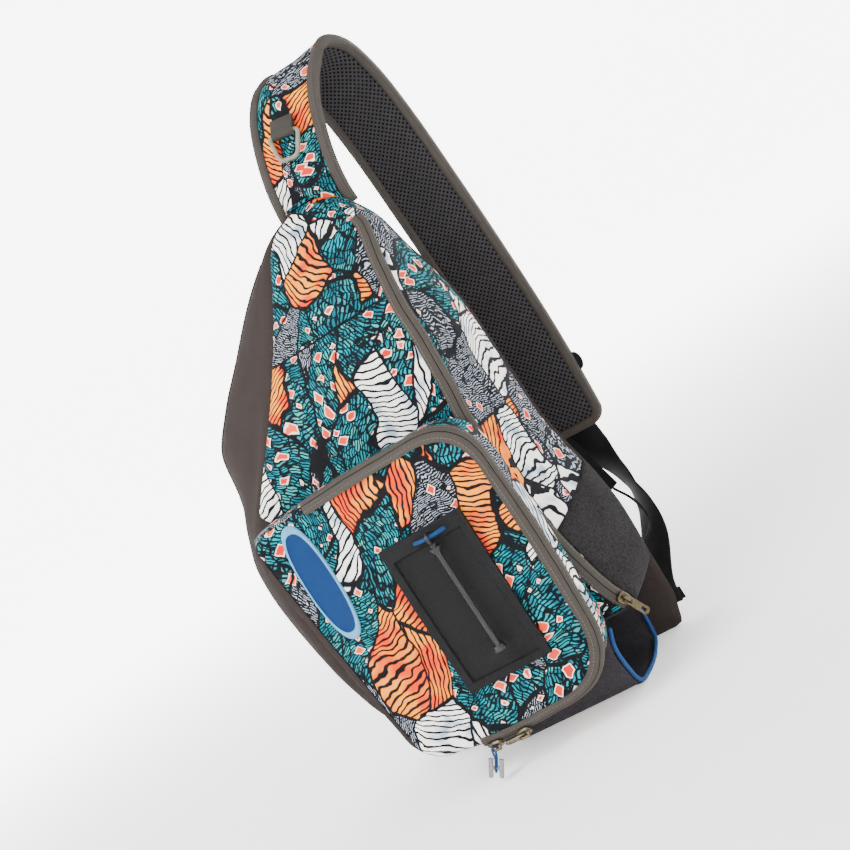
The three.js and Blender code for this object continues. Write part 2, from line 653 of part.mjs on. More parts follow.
function pocket() {
  const shell = [0, 0.35, 0.7, 1, 1.5, 2, 2.25];
  piece("pocket_shell", "print", sheet(pocketAt, -1, {
    cols: AROUND.length,
    rows: shell.length,
    outer: 0,
    inner: -CLOTH,
    closed: true,
    poleFirst: true,
    grid: (i, j) => {
      const station = stationAround(i);
      const depth = j === shell.length ? 2.5 - rimGap(station) : mix(shell[Math.floor(j)], shell[Math.floor(j) + 1] ?? 2.5, j % 1);
      return [station, depth];
    },
  }));
  const face = [2.75, 3, 3.25, 3.6, 4];
  piece("pocket_front", "print", sheet(pocketAt, -1, {
    cols: AROUND.length,
    rows: face.length,
    outer: 0,
    inner: -CLOTH,
    closed: true,
    poleLast: true,
    grid: (i, j) => {
      const station = stationAround(i);
      const at = Math.max(0, j - 1);
      const depth = j < 0.5 ? 2.5 + rimGap(station) : mix(face[Math.floor(at)], face[Math.floor(at) + 1] ?? 4, at % 1);
      return [station, depth];
    },
  }));
  const count = 34;
  const half = TAPE_WIDTH / 2 / rimLength;
  piece("pocket_zip_tape", "taupe", sheet(pocketAt, -1, {
    cols: count,
    rows: 4,
    outer: POCKET_GAP + TAPE_THICK,
    inner: POCKET_GAP,
    grid: (i, j) => [
      mix(POCKET_ZIP_START - 0.02, POCKET_ZIP_END + 0.02, i / count),
      2.5 + mix(-half, half, j / 4),
    ],
  }));
}

const faceAt = (x, z) => V(x, pocketFace(x, z), z);

function tippetPlate() {
  const edge = 0.5;
  const xs = [0, PLATE_SIDE_BAND, PLATE_SIDE_BAND + edge, 0.35 * PLATE_WIDTH, 0.65 * PLATE_WIDTH, PLATE_WIDTH - PLATE_SIDE_BAND - edge, PLATE_WIDTH - PLATE_SIDE_BAND, PLATE_WIDTH];
  const zs = [0, PLATE_SIDE_BAND, PLATE_SIDE_BAND + edge, 0.35 * PLATE_HEIGHT, 0.6 * PLATE_HEIGHT, PLATE_HEIGHT - PLATE_TOP_BAND - edge, PLATE_HEIGHT - PLATE_TOP_BAND, PLATE_HEIGHT];
  const flat = COVER_GAP + PLATE_THICK;
  const recessed = (i, n) => i >= 2 && i <= n - 3;
  piece("tippet_plate", "plate", sheet(faceAt, 1, {
    cols: xs.length - 1,
    rows: zs.length - 1,
    outer: (i, j) => (recessed(i, xs.length) && recessed(j, zs.length) ? flat : flat + PLATE_RIM),
    inner: COVER_GAP,
    grid: (i, j) => [PLATE_LEFT + xs[i], PLATE_TOP - PLATE_HEIGHT + zs[j]],
  }));
}

// The elastic cord arches off the plate's top band, and the bar's ring hangs round it.
const CORD_X = PLATE_LEFT + 0.6 * PLATE_WIDTH;
const CORD_Z = PLATE_TOP - 0.55 * PLATE_TOP_BAND;
const CORD_SPAN = 25;
const hookReach = HOOK_RADIUS + HOOK_WIRE / 2;

function plateCord() {
  const seat = pocketFace(CORD_X, CORD_Z) - COVER_GAP - PLATE_THICK - PLATE_RIM - SEAM;
  const arch = seat - hookReach - SEAM;
  const half = CORD_SPAN / 2;
  const route = [
    [-half, seat - ELASTIC / 2, 0],
    [-0.6 * half, mix(seat, arch, 0.75), 0],
    [-0.25 * half, arch, 0],
    [0.25 * half, arch, 0],
    [0.6 * half, mix(seat, arch, 0.75), 0],
    [half, seat - ELASTIC / 2, 0],
  ];
  const curve = new THREE.CatmullRomCurve3(route.map(([x, y, z]) => V(CORD_X + x, y, CORD_Z + z)));
  piece("plate_cord", "elastic", swept(framesAlong(curve, 12, V(0, 0, 1)), disc(ELASTIC / 2, 8)));
  return V(CORD_X, arch, CORD_Z);
}

function spoolBar(cord) {
  const drop = HOOK_RADIUS - HOOK_WIRE / 2 - ELASTIC / 2 - SEAM;
  const centre = V(cord.x, cord.y, cord.z - drop);
  const turns = 14;
  const ring = steps(turns - 1, 0, 2 * Math.PI * (1 - 1 / turns)).map((a) => {
    const up = V(0, Math.sin(a), Math.cos(a));
    return { point: centre.clone().addScaledVector(up, HOOK_RADIUS), side: V(1, 0, 0), up };
  });
  const hook = swept(ring, disc(HOOK_WIRE / 2, 6), true);
  const neck = centre.z - HOOK_RADIUS;
  const foot = neck - SPOOL_BAR_LENGTH;
  const bar = new THREE.CylinderGeometry(SPOOL_BAR / 2, SPOOL_BAR / 2, SPOOL_BAR_LENGTH, 10);
  bar.rotateX(Math.PI / 2).translate(centre.x, centre.y, (neck + foot) / 2);
  const knob = new THREE.CylinderGeometry(SPOOL_BAR * 0.9, SPOOL_BAR * 1.2, SPOOL_BAR, 12);
  knob.rotateX(Math.PI / 2).translate(centre.x, centre.y, foot);
  const collar = new THREE.CylinderGeometry(SPOOL_BAR * 1.1, SPOOL_BAR * 0.8, SPOOL_BAR, 12);
  collar.rotateX(Math.PI / 2).translate(centre.x, centre.y, neck - 1.2 * SPOOL_BAR);
  piece("spool_bar", "webbing", joined(hook, bar, knob, collar));
}

function bluePatch() {
  const rings = [1, 0.93, 0.86, 0.8, 0.45, 0];
  const lift = [0.9, 1.9, 1.9, 1.3, 1.3, 1.3];
  const outline = (station, ring) => {
    const a = 2 * Math.PI * station;
    const [c, s] = [Math.cos(a), Math.sin(a)];
    const across = Math.sign(s) * Math.abs(s) ** 0.8 * 0.5 * PATCH_WIDTH * ring;
    const up = Math.sign(c) * Math.abs(c) ** 0.9 * 0.5 * PATCH_LENGTH * ring;
    return faceAt(PATCH_X + across, PATCH_Z + up);
  };
  piece("blue_patch", "blue_patch", sheet(outline, 1, {
    cols: 18,
    rows: rings.length - 1,
    outer: (i, j) => COVER_GAP + lift[Math.min(rings.length - 1, Math.round(j))],
    inner: COVER_GAP,
    closed: true,
    poleLast: true,
    grid: (i, j) => {
      const k = Math.min(rings.length - 2, Math.floor(j));
      return [i / 18 + 1e-4, mix(rings[k], rings[k + 1], j - k)];
    },
  }));
}

// Sleeve and the elastic round its mouth
function sleeve() {
  const across = [0, 0.3, 0.6, 0.86, 0.93, 1, 1.07, 1.14, 1.4, 1.6, 1.86, 1.93, 2, 2.07, 2.14, 2.5, 3];
  const along = [0, 0.025, 0.05, 0.09, 0.13, 0.19, 0.25, 0.45, 0.65, 0.85, 1];
  piece("bottle_sleeve", "charcoal", sheet(sleeveAt, 1, {
    cols: across.length - 1,
    rows: along.length - 1,
    outer: 0,
    inner: -CLOTH,
    grid: (i, j) => [across[i], along[j]],
  }));
  const lift = ELASTIC / 2 + SEAM + 0.4;
  const loop = [0.12, 0.45, 0.8, 1, 1.2, 1.5, 1.8, 2, 2.2, 2.5, 2.75].map((station) => {
    const p = sleeveAt(station, 1);
    return V(p.x + lift, p.y * 0.94, Math.min(Math.max(p.z, ELASTIC / 2 + 0.2), SLEEVE_TOP - 1));
  });
  const curve = new THREE.CatmullRomCurve3(loop);
  piece("sleeve_cord", "elastic", swept(framesAlong(curve, 26, V(1, 0, 0)), disc(ELASTIC / 2, 7)));
}

// Strap: cover and mesh between two bound edges
const bindingMiddle = (STRAP_WIDTH - BINDING_WIDTH) / 2;
const endInset = BINDING_WIDTH / 2 / STRAP_LENGTH;

function strap() {
  const stations = [...steps(20, 0, 0.5), ...steps(9, 0.5, 0.94).slice(1)];
  const lastShare = 1 - (BINDING_WIDTH + SEAM) / STRAP_LENGTH;
  const innerRound = STRAP_CORNER - BINDING_WIDTH / 2 - SEAM;
  const ends = steps(4).map((t) => lastShare - (innerRound * (1 - Math.sin(0.5 * Math.PI * t))) / STRAP_LENGTH);
  const shares = [...stations, ...ends];
  const halfAt = (share) => {
    const into = Math.max(0, innerRound - (lastShare - share) * STRAP_LENGTH);
    const corner = innerRound - Math.sqrt(Math.max(0, innerRound ** 2 - into ** 2));
    return STRAP_WIDTH / 2 - BINDING_WIDTH - SEAM - corner;
  };
  const layer = (cols, outer, inner) => ({
    cols,
    rows: shares.length - 1,
    outer,
    inner,
    grid: (i, j) => [mix(-1, 1, i / cols) * halfAt(shares[j]), shares[j]],
  });
  const crown = (i) => COVER_THICK + COVER_CROWN * (1 - (i - 1) ** 2);
  piece("strap_cover", "print", sheet(strapAt, 1, layer(2, crown, 0)));
  piece("strap_mesh", "mesh", sheet(strapAt, 1, layer(2, -SEAM, -SEAM - MESH_THICK)));

  const corner = (STRAP_CORNER - BINDING_WIDTH / 2) / STRAP_LENGTH;
  const cornerAcross = STRAP_CORNER - BINDING_WIDTH / 2;
  const down = stations.filter((s) => s < 1 - endInset - corner).map((s) => [-bindingMiddle, s]);
  const turn = steps(4).map((t) => {
    const a = 0.5 * Math.PI * t;
    return [-bindingMiddle + cornerAcross * (1 - Math.cos(a)), 1 - endInset - corner * (1 - Math.sin(a))];
  });
  const half = [...down, ...turn];
  const path = [...half, ...half.map(([a, s]) => [-a, s]).reverse()];
  const positions = path.map(([a, s]) => strapAt(a, s));
  const frames = path.map(([, s], i) => {
    const along = positions[Math.min(i + 1, path.length - 1)].clone().sub(positions[Math.max(i - 1, 0)]);
    const up = strapFrame(s).out;
    const side = along.cross(up).normalize();
    return { point: positions[i], side, up };
  });
  const [w, low, high] = [BINDING_WIDTH / 2, -SEAM - MESH_THICK, COVER_THICK];
  const section = [[-w, low], [0, low - BINDING_PROUD], [w, low], [w, high], [0, high + BINDING_PROUD], [-w, high]];
  piece("strap_binding", "taupe", swept(frames, section));
}

// The D-ring's straight bar lies in a webbing loop sewn flat on the strap.
function dRing() {
  const f = strapFrame(RING_STATION);
  const eye = RING_WIRE / 2 + LOOP_CLEAR;
  const rise = COVER_THICK + COVER_CROWN + SEAM + LOOP_THICK + eye;
  const point = f.point.clone().addScaledVector(f.out, rise);
  const group = placed(point, f.across, f.along, f.out);

  const outer = eye + LOOP_THICK;
  const tail = 13;
  const outline = new THREE.Shape();
  outline.moveTo(tail, -outer);
  outline.lineTo(0, -outer);
  outline.absarc(0, 0, outer, -0.5 * Math.PI, -1.5 * Math.PI, true);
  outline.lineTo(tail, -outer + 2 * LOOP_THICK);
  outline.closePath();
  const hole = new THREE.Path();
  hole.absarc(0, 0, eye, 0, 2 * Math.PI);
  outline.holes.push(hole);
  const loop = plate(outline, LOOP_WIDTH);
  loop.applyMatrix4(new THREE.Matrix4().makeBasis(V(0, 1, 0), V(0, 0, 1), V(1, 0, 0)));
  piece("ring_webbing", "taupe", loop, group).position.x = -LOOP_WIDTH / 2;

  const half = RING_WIDTH / 2 - RING_WIRE / 2;
  const foot = RING_DROP - RING_WIRE;
  const bend = 2.2;
  const route = [
    ...steps(2, -half + bend, half - bend).map((x) => V(x, 0, 0)),
    V(half - 0.5, -0.7, 0),
    V(half, -bend, 0),
    V(half * 0.97, -foot * 0.45, 0),
    V(half * 0.72, -foot * 0.8, 0),
    V(half * 0.35, -foot * 0.98, 0),
    V(-half * 0.35, -foot * 0.98, 0),
    V(-half * 0.72, -foot * 0.8, 0),
    V(-half * 0.97, -foot * 0.45, 0),
    V(-half, -bend, 0),
    V(-half + 0.5, -0.7, 0),
  ];
  const curve = new THREE.CatmullRomCurve3(route, true, "centripetal");
  piece("d_ring", "ring", swept(framesAlong(curve, 22, V(0, 0, 1), true), disc(RING_WIRE / 2, 8), true), group);
}

// A zip slider whose bridge holds a pull. The group's y runs along the zip, and the pull lies towards -y.
const bridge = { half: 3.6, inner: 2.4, height: 3.6, window: 2.4, width: 2 };
function slider(group, name) {
  const [w, l] = [SLIDER_WIDTH / 2, SLIDER_LENGTH / 2];
  const body = plate(polygon([[-w * 0.6, -l], [w * 0.6, -l], [w, -l * 0.2], [w, l * 0.7], [w * 0.6, l], [-w * 0.6, l], [-w, l * 0.7], [-w, -l * 0.2]]), SLIDER_THICK, 0.5);
  const { half, inner, height, window, width } = bridge;
  const arch = plate(polygon([[-half, -0.4], [-inner, -0.4], [-inner, window], [inner, window], [inner, -0.4], [half, -0.4], [half, height - 1], [half - 1, height], [1 - half, height], [-half, height - 1]]), width);
  arch.translate(0, 0, -width / 2);
  arch.applyMatrix4(new THREE.Matrix4().makeBasis(V(0, 1, 0), V(0, 0, 1), V(1, 0, 0)));
  arch.translate(0, 0, SLIDER_THICK);
  piece(name, "gunmetal", joined(body, arch), group);
}

function pull(group, name, length) {
  const bar = PULL_THICK / 2;
  const eyeEnd = bridge.half + 1.4;
  const eyeHalf = bridge.width / 2 + 0.5;
  const neck = eyeHalf + 1.2;
  const w = PULL_WIDTH / 2;
  const shape = polygon([[-neck, bar], [-neck, -eyeEnd - 1], [-w, -eyeEnd - 3], [-w, -length + 1.5], [-w + 1.5, -length], [w - 1.5, -length], [w, -length + 1.5], [w, -eyeEnd - 3], [neck, -eyeEnd - 1], [neck, bar]]);
  shape.holes.push(new THREE.Path([[-eyeHalf, -bar], [eyeHalf, -bar], [eyeHalf, -eyeEnd], [-eyeHalf, -eyeEnd]].map(([x, y]) => new THREE.Vector2(x, y))));
  shape.holes.push(new THREE.Path([[-1.2, -length + 2.5], [1.2, -length + 2.5], [1.2, -length + 7], [-1.2, -length + 7]].map(([x, y]) => new THREE.Vector2(x, y))));
  const mesh = piece(name, "gunmetal", plate(shape, PULL_THICK), group);
  mesh.position.z = SLIDER_THICK + PIVOT_CLEAR;
}

// A group that lies on a tape at a station of its surface.
function onTape(surface, side, u, v, alongU, backwards) {
  const lift = COVER_GAP + TAPE_THICK + SEAM;
  const point = lifted(surface, side, u, v, lift);
  const out = lifted(surface, side, u, v, lift + 1).sub(point).normalize();
  const e = 0.01;
  const ahead = alongU ? lifted(surface, side, u + e, v, lift) : lifted(surface, side, u, v + e, lift);
  const along = ahead.sub(point).multiplyScalar(backwards ? -1 : 1);
  along.addScaledVector(out, -along.dot(out)).normalize();
  const clear = out.clone().multiplyScalar(0.5);
  return placed(point.add(clear), along.clone().cross(out), along, out);
}

function sliders() {
  const main = onTape(bodyAt, 1, 2, (0.55 * SLIDER_LENGTH) / BODY_HEIGHT, false, false);
  slider(main, "main_zip_slider");
  pull(main, "main_zip_pull", PULL_LENGTH);
  const upper = onTape(pocketAt, -1, POCKET_ZIP_END - 0.27, 2.5, true, true);
  slider(upper, "pocket_slider_upper");
  pull(upper, "pocket_pull_upper", PULL_LENGTH * 0.8);
  const end = onTape(pocketAt, -1, POCKET_ZIP_END - 0.06, 2.5, true, true);
  slider(end, "pocket_slider_end");
  grip(end);
}

// A cord loops through the end slider's bridge and round the cross bar of the H-shaped grip that hangs from it.
function grip(sliderGroup) {
  const level = SLIDER_THICK + 0.5 * bridge.window + 0.2;
  sliderGroup.updateMatrixWorld(true);
  const near = (across, along) => sliderGroup.localToWorld(V(across, along, level));
  const base = near(0, -1);
  const down = V(-0.5, -0.12, -0.86).normalize();
  const out = V(0, -1, 0).addScaledVector(down, down.y).normalize();
  const far = (o, s) => base.clone().addScaledVector(out, o).addScaledVector(down, s);
  const half = GRIP_THICK / 2 + GRIP_CORD / 2 + SEAM;
  const route = [
    near(2.5, -0.3),
    near(3.3, -2.6),
    far(-half, 0.4 * GRIP_DROP),
    far(-half, 0.75 * GRIP_DROP),
    far(-0.8 * half, GRIP_DROP - 1.3),
    far(0, GRIP_DROP),
    far(0.8 * half, GRIP_DROP - 1.3),
    far(half, 0.75 * GRIP_DROP),
    far(half, 0.4 * GRIP_DROP),
    near(-3.3, -2.6),
    near(-2.5, -0.3),
    near(0, 0.9),
  ];
  const curve = new THREE.CatmullRomCurve3(route, true);
  piece("pull_cord", "elastic", swept(framesAlong(curve, 24, V(1, 0, 0), true), disc(GRIP_CORD / 2, 6), true));
  const [w, h, leg] = [GRIP_WIDTH / 2, GRIP_LENGTH / 2, GRIP_WIDTH / 2 - GRIP_LEG];
  const [low, high] = [-GRIP_BAR / 2, GRIP_BAR / 2];
  const shape = polygon([[-w, -h], [-leg, -h], [-leg, low], [leg, low], [leg, -h], [w, -h], [w, h], [leg, h], [leg, high], [-leg, high], [-leg, h], [-w, h]]);
  const along = down.clone().negate();
  const centre = far(0, GRIP_DROP - GRIP_CORD / 2 - 0.9 - GRIP_BAR / 2);
  const group = placed(centre, along.clone().cross(out), along, out);
  piece("pull_grip", "silver", plate(shape, GRIP_THICK, 0.4), group).position.z = -GRIP_THICK / 2;
}

// Strap webbing: a flat band whose width turns as it goes. Rows hold the middle line and the turn of the width from +X.
const WEB_TOP = strapLine.getPointAt(1);
const WEB = [
  { x: 6, y: -1, z: -4.6, turn: 0 },
  { x: 12, y: -6, z: -22, turn: 14 },
  { x: 17, y: -12, z: -48, turn: 42 },
  { x: 18, y: -20, z: -72, turn: 62 },
  { x: 17, y: -34, z: -94, turn: 48 },
  { x: 13, y: -54, z: -112, turn: 22 },
  { x: 10, y: -66, z: -122, turn: 4 },
  { x: 9, y: -68.2, z: -129, turn: 0 },
  { x: 8, y: -68.5, z: -139, turn: 0 },
];
const TAIL = [
  { x: -17, y: -2.4, z: -3.8, turn: 0 },
  { x: -9, y: -13, z: -22, turn: 6 },
  { x: -1, y: -20, z: -46, turn: 12 },
];

function band(rows, count, width, thick) {
  const curve = new THREE.CatmullRomCurve3(rows.map((row) => V(WEB_TOP.x + row.x, WEB_TOP.y + row.y, WEB_TOP.z + row.z)));
  const turnAt = (t) => {
    const f = t * (rows.length - 1);
    const i = Math.min(rows.length - 2, Math.floor(f));
    return THREE.MathUtils.degToRad(mix(rows[i].turn, rows[i + 1].turn, f - i));
  };
  const frames = steps(count).map((t) => {
    const along = curve.getTangentAt(t);
    const across = V(Math.cos(turnAt(t)), -Math.sin(turnAt(t)), 0);
    across.addScaledVector(along, -across.dot(along)).normalize();
    return { point: curve.getPointAt(t), side: across, up: across.clone().cross(along) };
  });
  const [w, h] = [width / 2, thick / 2];
  return swept(frames, [[-w, -h], [w, -h], [w, h], [-w, h]]);
}

function webbing() {
  piece("strap_webbing", "webbing", band(WEB, 20, WEBBING_WIDTH, WEBBING_THICK));
  piece("webbing_tail", "webbing", band(TAIL, 6, WEBBING_WIDTH * 0.8, WEBBING_THICK));

  const foot = WEB[WEB.length - 1];
  const anchor = plate(polygon([[-15, -5], [15, -5], [15, 5], [-15, 5]]), WEBBING_THICK, 0.4);
  const mesh = piece("webbing_anchor", "webbing", anchor);
  mesh.rotation.x = Math.PI / 2;
  mesh.position.set(WEB_TOP.x + foot.x, WEB_TOP.y + foot.y + 1.5 * WEBBING_THICK + 2 * SEAM, WEB_TOP.z + foot.z + 4);

  const tail = TAIL[TAIL.length - 1];
  const end = V(WEB_TOP.x + tail.x, WEB_TOP.y + tail.y, WEB_TOP.z + tail.z - 2.4);
  const edge = V(end.x + 6, BODY_BACK + BACK_THICK + 2 * SEAM + KEEPER / 2, end.z - 42);
  const route = [V(end.x + 6, end.y, end.z), V(end.x + 16, end.y - 9, end.z - 12), V(end.x + 20, end.y - 22, end.z - 27), edge.clone().add(V(7, 5, 6)), edge];
  const keeper = new THREE.CatmullRomCurve3(route);
  piece("keeper_loop", "webbing", swept(framesAlong(keeper, 14, V(0, 1, 0)), disc(KEEPER / 2, 6)));

  const f = strapFrame(EDGE_TAB_STATION);
  const side = f.point.clone().addScaledVector(f.across, STRAP_WIDTH / 2 + SEAM);
  const tab = placed(side, f.across, f.along, f.out);
  const arc = steps(6, -0.5 * Math.PI, 0.5 * Math.PI).map((a) => [5 * Math.cos(a), 8 * Math.sin(a)]);
  piece("strap_edge_tab", "webbing", plate(polygon(arc), WEBBING_THICK), tab);
}

// Turns what is built so that the origin is the middle of the footprint of its box, on the floor.
function standOnOrigin() {
  const box = new THREE.Box3().setFromObject(bag, true);
  bag.position.set(-(box.min.x + box.max.x) / 2, -(box.min.y + box.max.y) / 2, -box.min.z);
}

bodyPanels();
bodyEnds();
backPanel();
mainZip();
flyPatch();
pocket();
tippetPlate();
spoolBar(plateCord());
bluePatch();
sleeve();
strap();
dRing();
sliders();
webbing();
standOnOrigin();

export default bag;
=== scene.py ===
from bisect import bisect_right
from math import cos, exp, floor, pi, radians, sin, sqrt
import bmesh
import bpy
from mathutils import Matrix, Vector, noise


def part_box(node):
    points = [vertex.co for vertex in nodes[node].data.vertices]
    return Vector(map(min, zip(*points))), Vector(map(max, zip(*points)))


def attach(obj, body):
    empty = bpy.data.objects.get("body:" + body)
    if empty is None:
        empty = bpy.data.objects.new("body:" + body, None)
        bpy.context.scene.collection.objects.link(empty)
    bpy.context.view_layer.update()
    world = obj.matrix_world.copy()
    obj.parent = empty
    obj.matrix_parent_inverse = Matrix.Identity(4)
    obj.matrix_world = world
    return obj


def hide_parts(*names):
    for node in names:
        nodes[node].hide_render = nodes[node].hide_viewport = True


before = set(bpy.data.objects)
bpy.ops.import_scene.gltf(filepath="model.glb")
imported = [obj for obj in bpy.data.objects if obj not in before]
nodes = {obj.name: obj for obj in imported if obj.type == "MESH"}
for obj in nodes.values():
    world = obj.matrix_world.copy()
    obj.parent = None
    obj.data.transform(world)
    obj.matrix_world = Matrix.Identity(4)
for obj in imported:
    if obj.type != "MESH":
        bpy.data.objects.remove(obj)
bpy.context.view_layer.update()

# The part's own shapes are worked out in millimetres, where X = 0 is the middle of the bottle
# sleeve's length. Its boxes in the frame say how far that has been moved.
SLEEVE_LEFT = -58
BODY_BACK = 52
SEAM = 0.3
BACK_THICK = 9
SHIFT = Vector(
    (
        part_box("bottle_sleeve")[0][0] * 1000 - SLEEVE_LEFT,
        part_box("back_panel")[1][1] * 1000 - (BODY_BACK + SEAM + BACK_THICK),
        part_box("back_panel")[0][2] * 1000,
    )
)


def metres(p):
    return (Vector(p) + SHIFT) * 0.001


# Camera, rolled as the photograph is
def make_camera():
    azimuth, elevation, roll, distance = radians(20), radians(6), radians(33), 987
    target = Vector((35, 0, 237))
    focal_pixels, picture_pixels = 1371, 850
    back = Vector((sin(azimuth) * cos(elevation), -cos(azimuth) * cos(elevation), sin(elevation)))
    level = (-back).cross(Vector((0, 0, 1))).normalized()
    up = level.cross(-back)
    right = cos(roll) * level - sin(roll) * up
    over = sin(roll) * level + cos(roll) * up
    data = bpy.data.cameras.new("camera")
    data.sensor_width = 36
    data.lens = focal_pixels * data.sensor_width / picture_pixels
    data.clip_start = 0.05
    camera = bpy.data.objects.new("camera", data)
    bpy.context.scene.collection.objects.link(camera)
    turn = Matrix((right, over, back)).transposed().to_4x4()
    camera.matrix_world = Matrix.Translation(metres(target + distance * back)) @ turn
    bpy.context.scene.camera = camera


make_camera()

# Named sizes of the part, in millimetres
CLOTH = 2
COVER_GAP = 0.5
SLOT = 5
TAPE_WIDTH = 12.6
TAPE_THICK = 1.2
BASE_LEVEL = 58
BODY_HEIGHT = 360
BODY_DEPTH = 91
LEFT_REACH = 170
RIGHT_REACH = 119
LEFT_ROUND = 16
RIGHT_ROUND = 17
PANEL_BULGE = 4
CREASE_DEPTH = 2.2
CREASE_WIDTH = 9
BACK_EDGE = 2
BACK_SEAM = 1.2
BACK_FOOT_LEFT = 118
BACK_FOOT_RIGHT = 104
ZIP_TOP = 0.915
PATCH_THICK = 2.4
SIDE_WRAP = 0.2
WRAP_LEVEL = 0.53
POCKET_WIDTH = 188
POCKET_HEIGHT = 218
POCKET_CENTRE = -9
POCKET_BASE = 26
POCKET_FACE = -74
POCKET_CROWN = 6
RIM_ROUND = 9
POCKET_GAP = 0.9
POCKET_FLARE = 15
POCKET_ZIP_START = 0.36
POCKET_ZIP_END = 2.66
CORNER_SEAM = 0.002
SLEEVE_LENGTH = 138
SLEEVE_FRONT = 36
SLEEVE_ROUND = 26
MOUTH_SCOOP = 7
ELASTIC = 3
STRAP_WIDTH = 60
STRAP_SHIFT = 56
STRAP_BACK = 82
STRAP_RISE = 110
STRAP_DROP = 357
STRAP_ROOT_X = 36
STRAP_ROOT_LEVEL = 401
COVER_THICK = 5
COVER_CROWN = 1.2
MESH_THICK = 3
BINDING_WIDTH = 7
BINDING_PROUD = 0.8
STRAP_CORNER = 13
WEBBING_WIDTH = 25
WEBBING_THICK = 1.8
KEEPER = 2.2
RING_WIRE = 3.4
RING_WIDTH = 27
RING_DROP = 23
RING_STATION = 0.135
LOOP_CLEAR = 0.35
LOOP_THICK = 1.2
PATCH_WIDTH = 26
PATCH_LENGTH = 92
PATCH_X = -65
PATCH_Z = 188
PLATE_X = 19
PLATE_Z = 129
PLATE_HALF_WIDTH = 33
PLATE_HALF_HEIGHT = 58
BODY_BASE = BASE_LEVEL + SEAM
BODY_TOP = BODY_BASE + BODY_HEIGHT
SLEEVE_TOP = BASE_LEVEL - CLOTH - SEAM
CREASE_LEVEL = BODY_BASE + 0.755 * BODY_HEIGHT

# Share of an outline's side that half a rounded corner takes, and the step that finds a slope
HALF = 0.14
NUDGE = 1e-3

# Sections of the body: height, left back, left front, right front, right back, depth, as shares
BODY = [
    (0, 0.882, 0.612, 0.87, 0.905, 0.9),
    (0.05, 0.924, 0.641, 0.81, 0.94, 0.955),
    (0.12, 0.959, 0.671, 0.752, 0.945, 0.98),
    (0.2, 0.982, 0.694, 0.71, 0.922, 1),
    (0.3, 0.994, 0.709, 0.668, 0.862, 1),
    (0.395, 0.982, 0.7, 0.65, 0.82, 1),
    (0.48, 0.929, 0.659, 0.655, 0.815, 0.99),
    (0.56, 0.876, 0.535, 0.67, 0.81, 0.955),
    (0.645, 0.841, 0.382, 0.67, 0.8, 0.9),
    (0.73, 0.694, 0.247, 0.65, 0.765, 0.81),
    (0.81, 0.506, 0.147, 0.65, 0.69, 0.68),
    (0.895, 0.306, 0.065, 0.665, 0.63, 0.515),
    (0.95, 0.147, 0.021, 0.56, 0.54, 0.385),
    (0.985, 0.018, -0.053, 0.445, 0.44, 0.28),
    (1, -0.082, -0.129, 0.35, 0.35, 0.2),
]
LEFT_BACK, LEFT_FRONT, RIGHT_FRONT, RIGHT_BACK, DEPTH = 1, 2, 3, 4, 5

# Corners of the pocket: across, up, rounding, as shares
POCKET = [(-0.5, 0.972, 0.1), (0.5, 1, 0.225), (0.5, 0, 0.3), (-0.38, 0.025, 0.15)]

# Sections of the sleeve: length, rise, front, back, as shares
SLEEVE = [
    (0, 0.6, 0.3, 0.45),
    (0.05, 0.3, 0.7, 0.78),
    (0.13, 0.08, 0.93, 0.95),
    (0.25, 0, 1, 1),
    (1, 0, 1, 1),
]

# The strap's middle line: sideways, back, up, down, as shares
STRAP = [
    (0, 0, 0, 0),
    (0, 0, 0.12, 0),
    (0.04, 0.02, 0.32, 0),
    (0.125, 0.1, 0.55, 0),
    (0.25, 0.235, 0.78, 0),
    (0.41, 0.41, 0.935, 0),
    (0.61, 0.62, 1, 0),
    (0.75, 0.81, 1, 0.025),
    (0.84, 0.93, 1, 0.09),
    (0.9, 0.99, 1, 0.2),
    (0.95, 1, 1, 0.39),
    (0.98, 1, 1, 0.566),
    (1, 0.97, 1, 0.734),
    (0.99, 0.935, 1, 0.874),
    (0.965, 0.88, 1, 1),
]


def mix(a, b, t):
    return a + (b - a) * t


def steps(n, low=0.0, high=1.0):
    return [mix(low, high, i / n) for i in range(n + 1)]


def running(points):
    total = [0.0]
    for a, b in zip(points, points[1:]):
        total.append(total[-1] + (b - a).length)
    return total


def smooth(t):
    t = min(max(t, 0), 1)
    return t * t * (3 - 2 * t)


# A column of a section table at any station, as a smooth curve that keeps between its rows
def column(rows, key, at):
    last = len(rows) - 1

    def slope(i):
        return (rows[i + 1][key] - rows[i][key]) / (rows[i + 1][0] - rows[i][0])

    def tangent(i):
        if i == 0:
            return slope(0)
        if i == last:
            return slope(last - 1)
        a, b = slope(i - 1), slope(i)
        return 0 if a * b <= 0 else 2 * a * b / (a + b)

    s = min(max(at, 0), 1)
    i = next((k for k in range(1, last + 1) if rows[k][0] > s), last) - 1
    span = rows[i + 1][0] - rows[i][0]
    t = (s - rows[i][0]) / span
    return (
        rows[i][key] * (1 + 2 * t) * (1 - t) ** 2
        + tangent(i) * span * t * (1 - t) ** 2
        + rows[i + 1][key] * t * t * (3 - 2 * t)
        + tangent(i + 1) * span * t * t * (t - 1)
    )


